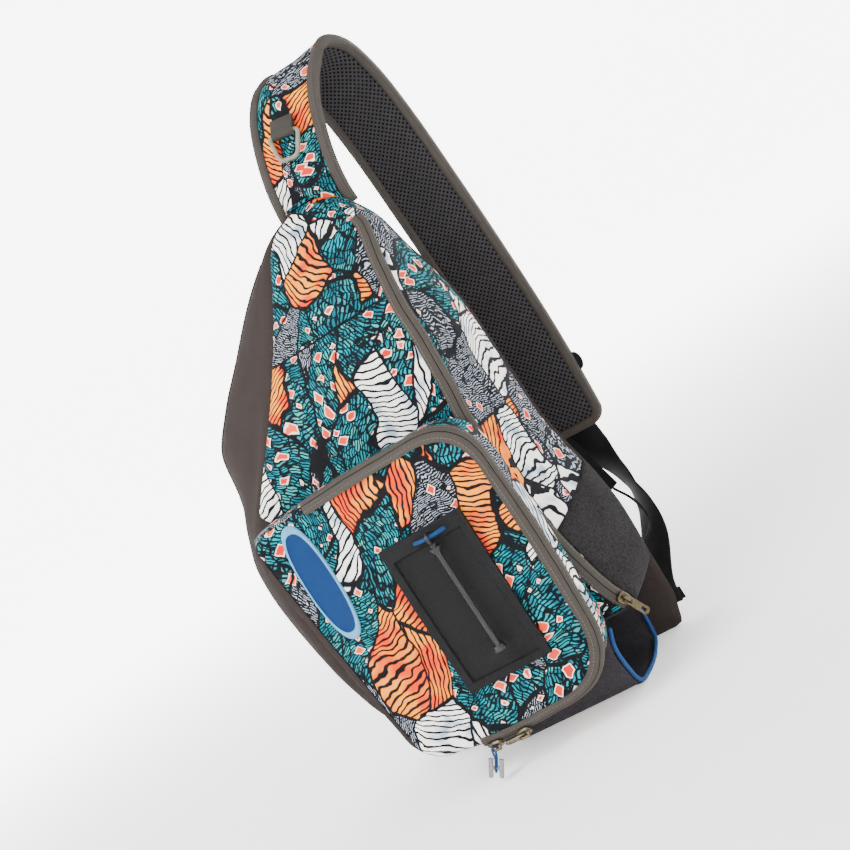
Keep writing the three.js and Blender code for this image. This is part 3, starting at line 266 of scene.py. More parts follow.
# A point of an outline whose corners (x, y, rounding) lie at whole stations
def rounded(corners, station, bulges, closed):
    n = len(corners)
    sides = n if closed else n - 1
    s = station % n if closed else min(max(station, 0), sides)
    side = min(int(floor(s)), sides - 1)
    t = s - side
    a, b = corners[side], corners[(side + 1) % n]
    along = Vector((b[0] - a[0], b[1] - a[1]))
    length = along.length
    along /= length

    def corner(i, share):
        c, p, q = corners[i % n], corners[(i - 1) % n], corners[(i + 1) % n]
        into = Vector((p[0] - c[0], p[1] - c[1])).normalized() * c[2]
        out = Vector((q[0] - c[0], q[1] - c[1])).normalized() * c[2]
        return Vector(c[:2]) + (1 - share) ** 2 * into + share**2 * out

    starts = closed or side > 0
    ends = closed or side < sides - 1
    if starts and t < HALF:
        return corner(side, 0.5 + 0.5 * t / HALF)
    if ends and t > 1 - HALF:
        return corner(side + 1, 0.5 * (t - 1 + HALF) / HALF)
    low = HALF if starts else 0
    high = 1 - HALF if ends else 1
    f = (t - low) / (high - low)
    d = mix(a[2] if starts else 0, length - (b[2] if ends else 0), f)
    lift = bulges[side] * sin(pi * f)
    return Vector((a[0] + along.x * d + along.y * lift, a[1] + along.y * d - along.x * lift))


def body_corners(at):
    depth = column(BODY, DEPTH, at)
    front = BODY_BACK - BODY_DEPTH * depth
    fade = min(1, 2.2 * depth)
    return [
        (-LEFT_REACH * column(BODY, LEFT_BACK, at), BODY_BACK, 0),
        (-LEFT_REACH * column(BODY, LEFT_FRONT, at), front, LEFT_ROUND * fade),
        (RIGHT_REACH * column(BODY, RIGHT_FRONT, at), front, RIGHT_ROUND * fade),
        (RIGHT_REACH * column(BODY, RIGHT_BACK, at), BODY_BACK, 0),
    ]


def body_at(station, at):
    fade = min(1, 6 * (1 - at), 0.25 + 6 * at)
    bulges = [PANEL_BULGE * fade, PANEL_BULGE * 1.3 * fade, PANEL_BULGE * 0.8 * fade]
    p = rounded(body_corners(at), station, bulges, False)
    z = BODY_BASE + at * BODY_HEIGHT
    crease = exp(-(((z - CREASE_LEVEL) / CREASE_WIDTH) ** 2) * 4)
    reach = max(0, min(1, (station - 1) * 8, (1.8 - station) * 8))
    return Vector((p.x, p.y + CREASE_DEPTH * crease * reach, z))


def beside_zip(at, length):
    sign = -1 if length < 0 else 1
    edge, middle = body_at(2 + sign * HALF, at), body_at(2 + sign * HALF * 0.5, at)
    half = (edge - middle).length + (middle - body_at(2, at)).length
    return 2 + HALF * length / half


def body_front(x, z):
    at = (z - BODY_BASE) / BODY_HEIGHT
    low, high = 1.0, 2.0
    for _ in range(14):
        middle = (low + high) / 2
        if body_at(middle, at).x < x:
            low = middle
        else:
            high = middle
    return body_at(low, at).y


POCKET_CORNERS = [
    (POCKET_CENTRE + a * POCKET_WIDTH, POCKET_BASE + u * POCKET_HEIGHT, r * POCKET_WIDTH)
    for a, u, r in POCKET
]
POCKET_MIDDLE = POCKET_BASE + 0.5 * POCKET_HEIGHT


def pocket_face(x, z):
    across = min(1, abs(x - POCKET_CENTRE) / (0.5 * POCKET_WIDTH))
    up = min(1, abs(z - POCKET_MIDDLE) / (0.5 * POCKET_HEIGHT))
    return POCKET_FACE - POCKET_CROWN * (1 - across**2) * (1 - up**2)


def pocket_back(x, z):
    level = max(z, BODY_BASE + 1)
    corner = body_corners((level - BODY_BASE) / BODY_HEIGHT)[1][1] - TAPE_THICK - 1.4
    return min(body_front(x, level), corner, -SLEEVE_FRONT) - POCKET_GAP


def pocket_at(station, depth):
    p = rounded(POCKET_CORNERS, station, [-2, -2, -3, -2], True)
    centre = Vector((POCKET_CENTRE, POCKET_MIDDLE))
    station = station % 4
    to_corner = min(station, 4 - station)
    flare = POCKET_FLARE * exp(-((to_corner / 0.13) ** 2))
    if depth <= 2:
        back = (p.x - flare, p.y - 0.1 * flare)
        share = (2 - max(depth, 1)) ** 1.5
        y = mix(pocket_back(*back), POCKET_FACE + RIM_ROUND, max(depth, 1) - 1)
        return Vector((p.x - flare * share, y, p.y - 0.1 * flare * share))
    turn = (min(depth, 3) - 2) * 0.5 * pi
    inset = p + (centre - p).normalized() * RIM_ROUND * (1 - cos(turn))
    if depth <= 3:
        fullness = pocket_face(inset.x, inset.y) - POCKET_FACE
        return Vector((inset.x, POCKET_FACE + RIM_ROUND * (1 - sin(turn)) + fullness * sin(turn), inset.y))
    q = inset.lerp(centre, depth - 3)
    return Vector((q.x, pocket_face(q.x, q.y), q.y))


def sleeve_at(station, along):
    rise = column(SLEEVE, 1, along) * SLEEVE_TOP
    front = -SLEEVE_FRONT * column(SLEEVE, 2, along)
    back = BODY_BACK * column(SLEEVE, 3, along)
    turn = min(SLEEVE_ROUND, 0.42 * (SLEEVE_TOP - rise))
    corners = [(front, SLEEVE_TOP, 0), (front, rise, turn), (back, rise, turn), (back, SLEEVE_TOP, 0)]
    p = rounded(corners, station, [0, 0, 0], False)
    scoop = MOUTH_SCOOP * sin(pi * min(1, max(0, (1.35 - station) / 1.35)))
    return Vector((SLEEVE_LEFT + along * (SLEEVE_LENGTH - scoop), p.x, p.y))


# A smooth curve through points, with the same spacing as a centripetal Catmull-Rom spline
class Curve:
    def __init__(self, points, closed=False, divisions=400):
        self.points = [Vector(p) for p in points]
        self.closed = closed
        self.count = divisions
        self.lengths = running([self.raw(t) for t in steps(divisions)])
        self.length = self.lengths[-1]

    def raw(self, t):
        pts = self.points
        n = len(pts)
        p = (n if self.closed else n - 1) * t
        i = int(floor(p))
        w = p - i
        if self.closed:
            i %= n
            p0, p1, p2, p3 = (pts[(i + k) % n] for k in (-1, 0, 1, 2))
        else:
            if i >= n - 1:
                i, w = n - 2, 1.0
            p1, p2 = pts[i], pts[i + 1]
            p0 = pts[i - 1] if i > 0 else pts[0] * 2 - pts[1]
            p3 = pts[i + 2] if i + 2 < n else pts[-1] * 2 - pts[-2]
        d0, d1, d2 = sqrt((p1 - p0).length), sqrt((p2 - p1).length), sqrt((p3 - p2).length)
        t1 = ((p1 - p0) / d0 - (p2 - p0) / (d0 + d1) + (p2 - p1) / d1) * d1
        t2 = ((p2 - p1) / d1 - (p3 - p1) / (d1 + d2) + (p3 - p2) / d2) * d1
        return p1 + t1 * w + (-3 * p1 + 3 * p2 - 2 * t1 - t2) * w * w + (2 * p1 - 2 * p2 + t1 + t2) * w**3

    def point(self, share):
        goal = min(max(share, 0), 1) * self.length
        low = min(bisect_right(self.lengths, goal), self.count) - 1
        span = self.lengths[low + 1] - self.lengths[low]
        return self.raw((low + (goal - self.lengths[low]) / span) / self.count)

    def tangent(self, share):
        low, high = share - NUDGE, share + NUDGE
        if self.closed:
            low, high = low % 1, high % 1
        return (self.point(high) - self.point(low)).normalized()


strap_line = Curve(
    [
        (
            STRAP_ROOT_X + s * STRAP_SHIFT,
            BODY_BACK + SEAM + COVER_THICK + COVER_CROWN + BINDING_PROUD + b * STRAP_BACK,
            STRAP_ROOT_LEVEL + u * STRAP_RISE - d * STRAP_DROP,
        )
        for s, b, u, d in STRAP
    ]
)


def strap_frame(share):
    along = strap_line.tangent(share)
    across = (Vector((1, 0, 0)) - along * along.x).normalized()
    return strap_line.point(share), along, across, across.cross(along)


def strap_at(across, share):
    point, _, side, _ = strap_frame(min(max(share, 0), 1))
    return point + side * across


# Meshes
def make(name, points, faces, uvs, mat, body="bag", sharp=50):
    mesh = bpy.data.meshes.new(name)
    mesh.from_pydata([metres(p) for p in points], [], faces)
    layer = mesh.uv_layers.new(name="spread")
    for loop in mesh.loops:
        layer.data[loop.index].uv = [c * 0.001 for c in uvs[loop.vertex_index]]
    mesh.validate()
    b = bmesh.new()
    b.from_mesh(mesh)
    bmesh.ops.recalc_face_normals(b, faces=b.faces)
    b.to_mesh(mesh)
    b.free()
    mesh.polygons.foreach_set("use_smooth", [True] * len(mesh.polygons))
    mesh.set_sharp_from_angle(angle=radians(sharp))
    mesh.materials.append(mat)
    piece = bpy.data.objects.new(name, mesh)
    bpy.context.scene.collection.objects.link(piece)
    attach(piece, body)
    return piece


# A thick sheet over a grid of a surface's stations. lift(i, j, p) moves its outer side further out.
def skin(name, surface, side, us, vs, grid, outer, inner, mat, lift=None, closed=False, pole=False):
    cols, rows = len(us), len(vs)
    tops, downs = [], []
    for j in range(rows):
        for i in range(cols):
            u, v = grid(us[i], vs[j])
            p = surface(u, v)
            du = surface(u + NUDGE, v) - surface(u - NUDGE, v)
            dv = surface(u, v + NUDGE) - surface(u, v - NUDGE)
            n = du.cross(dv).normalized() * side
            more = lift(i, j, p) if lift else 0
            tops.append(p + n * (outer + more))
            downs.append(p + n * (inner + more))
    middle = cols // 2
    run = running(tops[middle::cols])
    uvs = []
    for j in range(rows):
        row = running(tops[j * cols : (j + 1) * cols])
        uvs += [(r - row[-1] / 2, run[j]) for r in row]
    points = tops + downs
    n = len(tops)
    faces = []
    wide = cols if closed else cols - 1
    for j in range(rows - 1):
        for i in range(wide):
            a, b = j * cols + i, j * cols + (i + 1) % cols
            c, d = b + cols, a + cols
            faces.append((a, b, c, d))
            faces.append((n + d, n + c, n + b, n + a))
    for i in range(wide):
        k = (i + 1) % cols
        faces.append((i, n + i, n + k, k))
        if not pole:
            last = (rows - 1) * cols
            faces.append((last + i, last + k, n + last + k, n + last + i))
    if pole:
        last = (rows - 1) * cols
        faces.append(tuple(last + i for i in range(cols)))
        faces.append(tuple(n + last + cols - 1 - i for i in range(cols)))
    if not closed:
        for j in range(rows - 1):
            a, d = j * cols, (j + 1) * cols
            faces.append((a, d, n + d, n + a))
            b, c = a + cols - 1, d + cols - 1
            faces.append((b, n + b, n + c, c))
    return make(name, points, faces, uvs + uvs, mat)


# A closed mesh through rings of points, with an end over the first and the last unless they meet
def stacked(name, rings, uvs, mat, meet=False, body="bag", sharp=50):
    n, count = len(rings[0]), len(rings)
    faces = []
    for j in range(count if meet else count - 1):
        above = (j + 1) % count
        for k in range(n):
            beside = (k + 1) % n
            faces.append((j * n + k, j * n + beside, above * n + beside, above * n + k))
    if not meet:
        last = (count - 1) * n
        faces.append(tuple(n - 1 - k for k in range(n)))
        faces.append(tuple(last + k for k in range(n)))
    return make(name, [p for ring in rings for p in ring], faces, uvs, mat, body, sharp)


# A bar along frames of (point, side, up), with a section of (side, up) pairs
def bar(name, frames, section, mat, meet=False, body="bag"):
    n = len(section)
    girth = running([Vector(p) for p in section])
    run = running([point for point, _, _ in frames])
    rings, uvs = [], []
    for (point, side, up), along in zip(frames, run):
        rings.append([point + side * a + up * b for a, b in section])
        uvs += [(section[k][0] if n < 9 else girth[k], along) for k in range(n)]
    return stacked(name, rings, uvs, mat, meet, body)


def disc(radius, sides):
    return [(radius * cos(2 * pi * k / sides), radius * sin(2 * pi * k / sides)) for k in range(sides)]


def frames_along(curve, count, upward):
    shares = [i / count for i in range(count)] if curve.closed else steps(count)
    made = []
    for t in shares:
        along = curve.tangent(t)
        side = along.cross(Vector(upward)).normalized()
        made.append((curve.point(t), side, side.cross(along)))
    return made


# A carried-over node's mesh with its edges softened
def softened(node, name, mat, width, body="bag", angle=40, segments=2):
    mesh = nodes[node].data.copy()
    mesh.name = name
    mesh.materials.clear()
    mesh.materials.append(mat)
    piece = bpy.data.objects.new(name, mesh)
    bpy.context.scene.collection.objects.link(piece)
    b = bmesh.new()
    b.from_mesh(mesh)
    bmesh.ops.remove_doubles(b, verts=b.verts, dist=1e-6)
    bmesh.ops.dissolve_limit(b, angle_limit=radians(1), verts=b.verts, edges=b.edges)
    b.to_mesh(mesh)
    b.free()
    modifier = piece.modifiers.new("edges", "BEVEL")
    modifier.width = width * 0.001
    modifier.segments = segments
    modifier.limit_method = "ANGLE"
    modifier.angle_limit = radians(angle)
    shaped = bpy.data.meshes.new_from_object(piece.evaluated_get(bpy.context.evaluated_depsgraph_get()))
    piece.modifiers.clear()
    piece.data = shaped
    shaped.polygons.foreach_set("use_smooth", [True] * len(shaped.polygons))
    shaped.set_sharp_from_angle(angle=radians(35))
    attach(piece, body)
    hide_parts(node)
    return piece


# Materials
def srgb(*rgb):
    return tuple(((c / 255 + 0.055) / 1.055) ** 2.4 if c > 10 else c / 255 / 12.92 for c in rgb) + (1,)


class Look:
    def __init__(self, name):
        self.material = bpy.data.materials.new(name)
        self.material.use_nodes = True
        self.tree = self.material.node_tree
        self.tree.nodes.clear()
        self.out = self.tree.nodes.new("ShaderNodeOutputMaterial")
        self.shade = self.tree.nodes.new("ShaderNodeBsdfPrincipled")
        self.tree.links.new(self.shade.outputs[0], self.out.inputs["Surface"])
        where = self.tree.nodes.new("ShaderNodeTexCoord")
        self.place = where.outputs["Object"]
        self.spread = where.outputs["UV"]

    def put(self, socket, value):
        if isinstance(value, bpy.types.NodeSocket):
            self.tree.links.new(value, socket)
        elif value is not None:
            socket.default_value = value

    def fill(self, node, inputs):
        for key, value in inputs.items():
            self.put(node.inputs[key.replace("_", " ")], value)

    def node(self, kind, props=None, **inputs):
        made = self.tree.nodes.new("ShaderNode" + kind)
        for key, value in (props or {}).items():
            setattr(made, key, value)
        self.fill(made, inputs)
        return made

    def math(self, operation, a, b=None, c=None):
        made = self.node("Math", {"operation": operation})
        for socket, value in zip(made.inputs, (a, b, c)):
            self.put(socket, value)
        return made.outputs[0]

    def times(self, a, b):
        return self.math("MULTIPLY", a, b)

    def plus(self, a, b):
        return self.math("ADD", a, b)

    def vector(self, operation, a, b=None, scale=None, output=0):
        made = self.node("VectorMath", {"operation": operation})
        self.put(made.inputs[0], a)
        self.put(made.inputs[1], b)
        if scale is not None:
            self.put(made.inputs["Scale"], scale)
        return made.outputs[output]

    def between(self, value, low, high):
        made = self.node(
            "MapRange", {"interpolation_type": "SMOOTHSTEP"}, Value=value, From_Min=low, From_Max=high
        )
        return made.outputs[0]

    def blend(self, share, a, b):
        made = self.node("Mix", {"data_type": "RGBA"})
        for place, value in ((0, share), (6, a), (7, b)):
            self.put(made.inputs[place], value)
        return made.outputs[2]

    def grain(self, size, detail=2, where=None, rough=0.5, output="Fac"):
        where = where or self.place
        made = self.node("TexNoise", Vector=where, Scale=1000 / size, Detail=detail, Roughness=rough)
        return made.outputs[output]

    def cells(self, size, where=None, props=None, random=1.0):
        where = where or self.place
        return self.node("TexVoronoi", props, Vector=where, Scale=1000 / size, Randomness=random)

    def bands(self, period, where=None, direction="X", bend=0.0, detail=1, detail_scale=0.7):
        made = self.node(
            "TexWave", {"bands_direction": direction}, Vector=where or self.place,
            Scale=0.31416 * 1000 / period, Distortion=bend, Detail=detail, Detail_Scale=detail_scale,
        )
        return made.outputs["Fac"]

    def relief(self, height, millimetres, normal=None):
        made = self.node("Bump", Height=height, Strength=1, Distance=millimetres * 0.001, Normal=normal)
        return made.outputs[0]

    def finish(self, color, rough, normal=None, **uniform):
        self.fill(self.shade, {"Base_Color": color, "Roughness": rough, "Normal": normal, **uniform})
        return self.material


def woven(look, size=0.55):
    a = look.bands(size, direction="X")
    b = look.bands(size, direction="Z")
    c = look.bands(size, direction="Y")
    return look.times(look.plus(look.plus(a, b), c), 0.33)


# A generic design of long hatched patches and small lozenges, in teal, orange, cream and charcoal
def print_look(name, shift, split=None):
    look = Look(name)
    blend, between, times, plus = look.blend, look.between, look.times, look.plus
    grain, bands, cells = look.grain, look.bands, look.cells
    patch_size, spot_size, chip_size = 39, 12.2, 6.4
    cut = look.vector("ADD", look.place, shift)
    height = look.node("SeparateXYZ", Vector=look.place).outputs[2]
    if split:
        above = look.math("GREATER_THAN", height, split)
        cut = look.vector("ADD", cut, look.vector("SCALE", (0.21, 0.4, 0.16), scale=above))
    warp = look.vector("SUBTRACT", grain(55, 1, cut, output="Color"), (0.5, 0.5, 0.5))
    fine = look.vector("SUBTRACT", grain(9, 1, cut, output="Color"), (0.5, 0.5, 0.5))
    moved = look.vector("ADD", cut, look.vector("SCALE", warp, scale=0.034))
    moved = look.vector("ADD", moved, look.vector("SCALE", fine, scale=0.004))
    leaning = look.node("VectorRotate", {"rotation_type": "Y_AXIS"}, Vector=moved, Angle=-0.42)
    long = look.vector("MULTIPLY", leaning.outputs[0], (1.45, 1.2, 0.62))
    patch = cells(patch_size, long)
    border = cells(patch_size, long, {"feature": "DISTANCE_TO_EDGE"}).outputs["Distance"]
    parts = look.node("SeparateColor", Color=patch.outputs["Color"])
    kind, turn = parts.outputs[0], parts.outputs[1]
    turned = look.node("VectorRotate", {"rotation_type": "AXIS_ANGLE"}, Vector=moved)
    turned.inputs["Axis"].default_value = (0.2, 1, 0)
    look.put(turned.inputs["Angle"], times(turn, 6.28))
    lines = turned.outputs[0]
    hatch = between(bands(2.2, lines, bend=5, detail=2, detail_scale=0.8), 0.42, 0.62)
    strokes = between(bands(3.7, lines, bend=6, detail=2, detail_scale=0.6), 0.6, 0.76)
    veins = between(bands(4.6, lines, bend=8, detail=2, detail_scale=0.5), 0.7, 0.82)
    scratch = between(bands(1.7, lines, direction="Z", bend=8, detail=3, detail_scale=0.9), 0.7, 0.88)
    ink = srgb(13, 14, 18)
    tone = between(grain(13, 2), 0.35, 0.65)
    chips = cells(chip_size, moved)
    chip = look.node("SeparateColor", Color=chips.outputs["Color"]).outputs[1]
    joint = cells(chip_size, moved, {"feature": "DISTANCE_TO_EDGE"}).outputs["Distance"]
    teal = blend(tone, srgb(0, 88, 102), srgb(0, 138, 148))
    teal = blend(between(chip, 0.6, 1.1), teal, srgb(70, 168, 160))
    teal = blend(hatch, teal, srgb(4, 18, 26))
    teal = blend(between(joint, 0.1, 0.05), teal, ink)
    warm = blend(between(grain(18, 1), 0.36, 0.62), srgb(222, 60, 2), srgb(246, 146, 34))
    warm = blend(strokes, warm, ink)
    pale = blend(between(grain(15, 1), 0.45, 0.72), srgb(248, 246, 240), srgb(150, 168, 186))
    pale = blend(veins, pale, ink)
    dark = blend(scratch, srgb(14, 16, 22), srgb(164, 172, 184))
    dark = blend(between(joint, 0.07, 0.04), dark, ink)
    color = teal
    for least, other in ((0.45, dark), (0.65, warm), (0.84, pale)):
        color = blend(between(kind, least, least + 0.002), color, other)
    spots = cells(spot_size, moved, {"distance": "MANHATTAN"}, 0.6)
    size = spots.outputs["Distance"]
    pick = look.node("SeparateColor", Color=spots.outputs["Color"])
    dense = between(kind, 0.55, 0.4)
    allowed = look.math("LESS_THAN", pick.outputs[0], plus(times(dense, 0.62), 0.3))
    allowed = times(allowed, look.math("LESS_THAN", kind, 0.66))
    coral = blend(pick.outputs[1], srgb(206, 26, 12), srgb(238, 88, 52))
    lozenge = blend(between(size, 0.34, 0.37), coral, srgb(240, 214, 202))
    lozenge = blend(between(size, 0.44, 0.47), lozenge, ink)
    here = times(allowed, look.math("LESS_THAN", size, 0.56))
    color = blend(here, color, lozenge)
    color = blend(between(border, 0.036, 0.022), color, ink)
    if split:
        off = look.math("ABSOLUTE", look.math("SUBTRACT", height, split))
        color = blend(between(off, 0.0009, 0.0005), color, ink)
    color = blend(times(grain(0.9, 2), 0.06), color, srgb(60, 60, 60))
    normal = look.relief(grain(24, 3), 2.2)
    normal = look.relief(woven(look), 0.09, normal)
    rough = between(grain(4, 2), -1.2, 1.6)
    rough = plus(times(rough, 0.2), 0.6)
    return look.finish(color, rough, normal, Specular_IOR_Level=0.07)


def cloth_look(name, color, shade, size, depth, rough, folds=30, fold_depth=1.4, gloss=0.07):
    look = Look(name)
    blend, between, times, grain, relief = look.blend, look.between, look.times, look.grain, look.relief
    mottle = between(grain(size, 4, rough=0.75), 0.36, 0.64)
    wide = between(grain(45, 2), 0.3, 0.7)
    tint = blend(times(mottle, 0.6), srgb(*color), srgb(*shade))
    tint = blend(times(wide, 0.25), tint, srgb(*shade))
    normal = relief(grain(folds, 3), fold_depth)
    normal = relief(grain(size * 0.8, 2), depth, normal)
    normal = relief(woven(look, 0.6), 0.06, normal)
    vary = look.plus(times(mottle, 0.12), rough)
    return look.finish(tint, vary, normal, Specular_IOR_Level=gloss)


# Woven tape: ribs across, stitches in rows at given distances from its middle
def tape_look(name, color, shade, rib, rows, half_gap=0.0, cord=False):
    look = Look(name)
    blend, times, plus = look.blend, look.times, look.plus
    bands, math, relief = look.bands, look.math, look.relief
    parts = look.node("SeparateXYZ", Vector=look.spread)
    across, along = parts.outputs[0], parts.outputs[1]
    ribs = bands(rib, look.spread, "Y", bend=0.3)
    cross = bands(rib * 1.6, look.spread, "X", bend=0.3)
    weave = times(ribs, plus(times(cross, 0.5), 0.5))
    if cord:
        weave = bands(rib, look.spread, "DIAGONAL", bend=0.6)
    tint = blend(times(weave, 0.55), srgb(*shade), srgb(*color))
    tint = blend(times(look.grain(2.2, 4, rough=0.7), 0.4), tint, srgb(*shade))
    height = times(weave, 0.25)
    beside = math("ABSOLUTE", across)
    for row in rows:
        near = math("ABSOLUTE", math("SUBTRACT", beside, row * 0.001))
        dash = math("LESS_THAN", math("FRACT", times(along, 1000 / 3.1)), 0.72)
        thread = times(look.between(near, 0.00042, 0.00022), dash)
        tint = blend(times(thread, 0.4), tint, srgb(*[min(255, c + 14) for c in color]))
        height = plus(height, thread)
    if half_gap:
        split = look.between(beside, half_gap * 0.001, half_gap * 0.0004)
        tint = blend(split, tint, srgb(24, 22, 21))
        height = math("SUBTRACT", height, times(split, 2.0))
    normal = relief(look.grain(24, 2), 0.8)
    normal = relief(height, 0.3, normal)
    rough = plus(times(weave, 0.1), 0.72)
    return look.finish(tint, rough, normal, Specular_IOR_Level=0.1)


def mesh_look():
    look = Look("spacer_mesh")
    blend, times, plus, grain, relief = look.blend, look.times, look.plus, look.grain, look.relief
    turned = look.node("VectorRotate", {"rotation_type": "Z_AXIS"}, Vector=look.spread, Angle=0.785)
    holes = look.cells(3.1, turned.outputs[0], {"voronoi_dimensions": "2D"}, 0.0).outputs["Distance"]
    net = look.between(holes, 0.24, 0.36)
    fibre = grain(0.5, 2)
    tint = blend(net, srgb(5, 5, 6), blend(fibre, srgb(60, 58, 59), srgb(38, 37, 39)))
    normal = relief(grain(22, 2), 0.8)
    threads = plus(times(net, 1.0), times(fibre, 0.2))
    normal = relief(threads, 0.7, normal)
    return look.finish(tint, plus(times(net, -0.12), 0.85), normal, Specular_IOR_Level=0.1)


def patch_look():
    look = Look("embroidered_patch")
    blend, between, times, plus, bands = look.blend, look.between, look.times, look.plus, look.bands
    parts = look.node("SeparateXYZ", Vector=look.spread)
    ring = times(parts.outputs[1], 1000)
    edge = between(ring, 2.3, 2.0)
    threads = bands(0.7, look.place, "DIAGONAL", bend=1.2)
    blue = blend(times(threads, 0.6), srgb(2, 36, 80), srgb(10, 60, 112))
    rim_threads = times(bands(0.8, look.spread, "X"), 0.6)
    rim = blend(rim_threads, srgb(70, 138, 184), srgb(142, 200, 228))
    tint = blend(edge, blue, rim)
    tint = blend(times(look.grain(5, 3), 0.25), tint, srgb(4, 36, 76))
    height = plus(threads, times(edge, 1.5))
    rough = plus(times(threads, 0.15), 0.6)
    return look.finish(tint, rough, look.relief(height, 0.16), Specular_IOR_Level=0.15)


def hard_look(name, color, worn, rough, metal, speck=2.0, depth=0.03, gloss=0.4):
    look = Look(name)
    marks = look.between(look.grain(speck, 4, rough=0.65), 0.42, 0.72)
    tint = look.blend(look.times(marks, 0.55), srgb(*color), srgb(*worn))
    finish = look.plus(look.times(marks, 0.18), rough)
    normal = look.relief(look.grain(speck * 0.4, 3), depth)
    return look.finish(tint, finish, normal, Metallic=metal, Specular_IOR_Level=gloss)


printed = print_look("printed_cloth", (0, 0, 0), metres((0, 0, CREASE_LEVEL)).z)
printed_side = print_look("printed_cloth_side", (0.37, 0.12, 0.055))
printed_pocket = print_look("printed_cloth_pocket", (1.27, -0.4, 0.83))
printed_strap = print_look("printed_cloth_strap", (-0.52, 0.71, 0.94))
grey = cloth_look("grey_cloth", (51, 45, 43), (39, 34, 33), 0.8, 0.05, 0.84, 55, 2.2, gloss=0.01)
charcoal = cloth_look("charcoal_cloth", (56, 54, 57), (34, 33, 36), 1.1, 0.1, 0.78)
fleece = cloth_look("fly_patch_felt", (43, 41, 41), (8, 8, 9), 1.8, 0.5, 0.9)
tape = tape_look("zip_tape", (92, 86, 80), (54, 50, 46), 1.1, (4.9,), 0.5)
binding = tape_look("strap_binding", (92, 86, 80), (50, 46, 43), 1.5, ())
ring_tape = tape_look("ring_webbing", (86, 81, 76), (52, 49, 46), 1.1, ())
black_web = tape_look("black_webbing", (34, 34, 35), (13, 13, 14), 1.3, ())
blue_cord = tape_look("elastic_cord", (56, 98, 150), (20, 52, 96), 1.1, (), cord=True)
black_cord = tape_look("black_cord", (30, 30, 31), (12, 12, 13), 1.0, (), cord=True)
net = mesh_look()
patch_blue = patch_look()
foam = hard_look("plate_foam", (20, 20, 21), (12, 12, 13), 0.6, 0, 1.4, 0.08, 0.12)
black_plastic = hard_look("black_plastic", (14, 14, 15), (26, 26, 27), 0.38, 0)
antique = hard_look("antique_metal", (88, 79, 60), (40, 36, 30), 0.34, 1, 2.4)
silver = hard_look("silver_plastic", (126, 126, 129), (88, 88, 92), 0.38, 0.25, 2)
ring_finish = hard_look("ring_plastic", (118, 111, 95), (88, 83, 72), 0.38, 0, 3)


# Small unevenness of cloth, in millimetres, and the dip beside a seam
def rumple(p, size, depth, seed=0.0):
    return depth * noise.noise(Vector((p.x / size + seed, p.y / size, p.z / size * 0.8)))


def dip(distance, depth=1.1, width=3.5):
    return -depth * exp(-max(distance, 0) / width)


# Short ripples that run away from a seam; run is the way along it
def pucker(distance, run, depth=0.55):
    wave = sin(run / 2.3 + 3 * noise.noise(Vector((run / 21, 3.7, 0))))
    return depth * exp(-max(distance, 0) / 8) * wave * (0.6 + noise.noise(Vector((run / 33, 9.1, 0))))


def slot_half(at):
    return SLOT / 2 if at <= ZIP_TOP else SEAM / 2


def back_inset(at, side):
    return BACK_SEAM / (body_at(side, at) - body_at(side + 1, at)).length


def seam_at(at):
    return 1 + SIDE_WRAP * smooth((WRAP_LEVEL - at) / 0.05)


# Heights of the body's rows, their usual distance in millimetres, and half a seam across its front
LEVELS = [*steps(52, 0, 0.52), *steps(38, 0.53, 0.91), *steps(9, ZIP_TOP, 1)]
LEVEL_STEP = 3.6
SEAM_SHARE = SEAM / 2 / 75


# A cloth panel of the body. Its columns lie some millimetres apart, its folds are (size, depth, seed)
def body_panel(name, cols, spacing, grid, mat, folds, plain_edge=12, crease=0.0, ripple=1.0, ripple_from=0):
    def lift(i, j, p):
        edge = min(i, len(cols) - 1 - i) * spacing
        ends = min(j * LEVEL_STEP, (len(LEVELS) - 1 - j) * 3)
        soft = min(1, edge / plain_edge, ends / 14)
        height = sum(rumple(p, *fold) for fold in folds)
        height -= crease * exp(-(((p.z - CREASE_LEVEL) / 2.6) ** 2))
        seams = dip(edge) + dip(ends, 0.8)
        return height * soft + seams + ripple * pucker(edge, p.z + ripple_from) * min(1, edge / 3)

    return skin(name, body_at, 1, cols, LEVELS, grid, 0, -CLOTH, mat, lift)


def body_panels():
    def front_grid(u, at):
        return mix(seam_at(at) + SEAM_SHARE, beside_zip(at, -slot_half(at)), u), at

    def gusset_grid(u, at):
        return mix(beside_zip(at, slot_half(at)), 3 - back_inset(at, 2), u), at

    def side_grid(u, at):
        return mix(back_inset(at, 0), seam_at(at) - SEAM_SHARE, u), at

    cols = [0, 0.01, 0.03, *steps(40, 0.05, 0.95), 0.97, 0.99, 1]
    folds = [(46, 3.2), (17, 1.2, 7)]
    piece = body_panel("front_cloth", cols, 2.2, front_grid, printed, folds, crease=1.1)
    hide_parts("body_front")

    cols = [0, 0.02, 0.05, *steps(18, 0.08, 0.92), 0.96, 1]
    folds = [(34, 2.8, 3), (14, 1.0, 9)]
    piece = body_panel("gusset_cloth", cols, 3.0, gusset_grid, printed_side, folds, ripple_from=40)
    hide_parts("body_gusset")

    cols = [0, 0.02, 0.05, *steps(26, 0.08, 0.95), 0.98, 1]
    folds = [(60, 3.2, 5)]
    piece = body_panel("side_cloth", cols, 3.0, side_grid, grey, folds, plain_edge=14, ripple=0)
    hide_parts("side_panel")


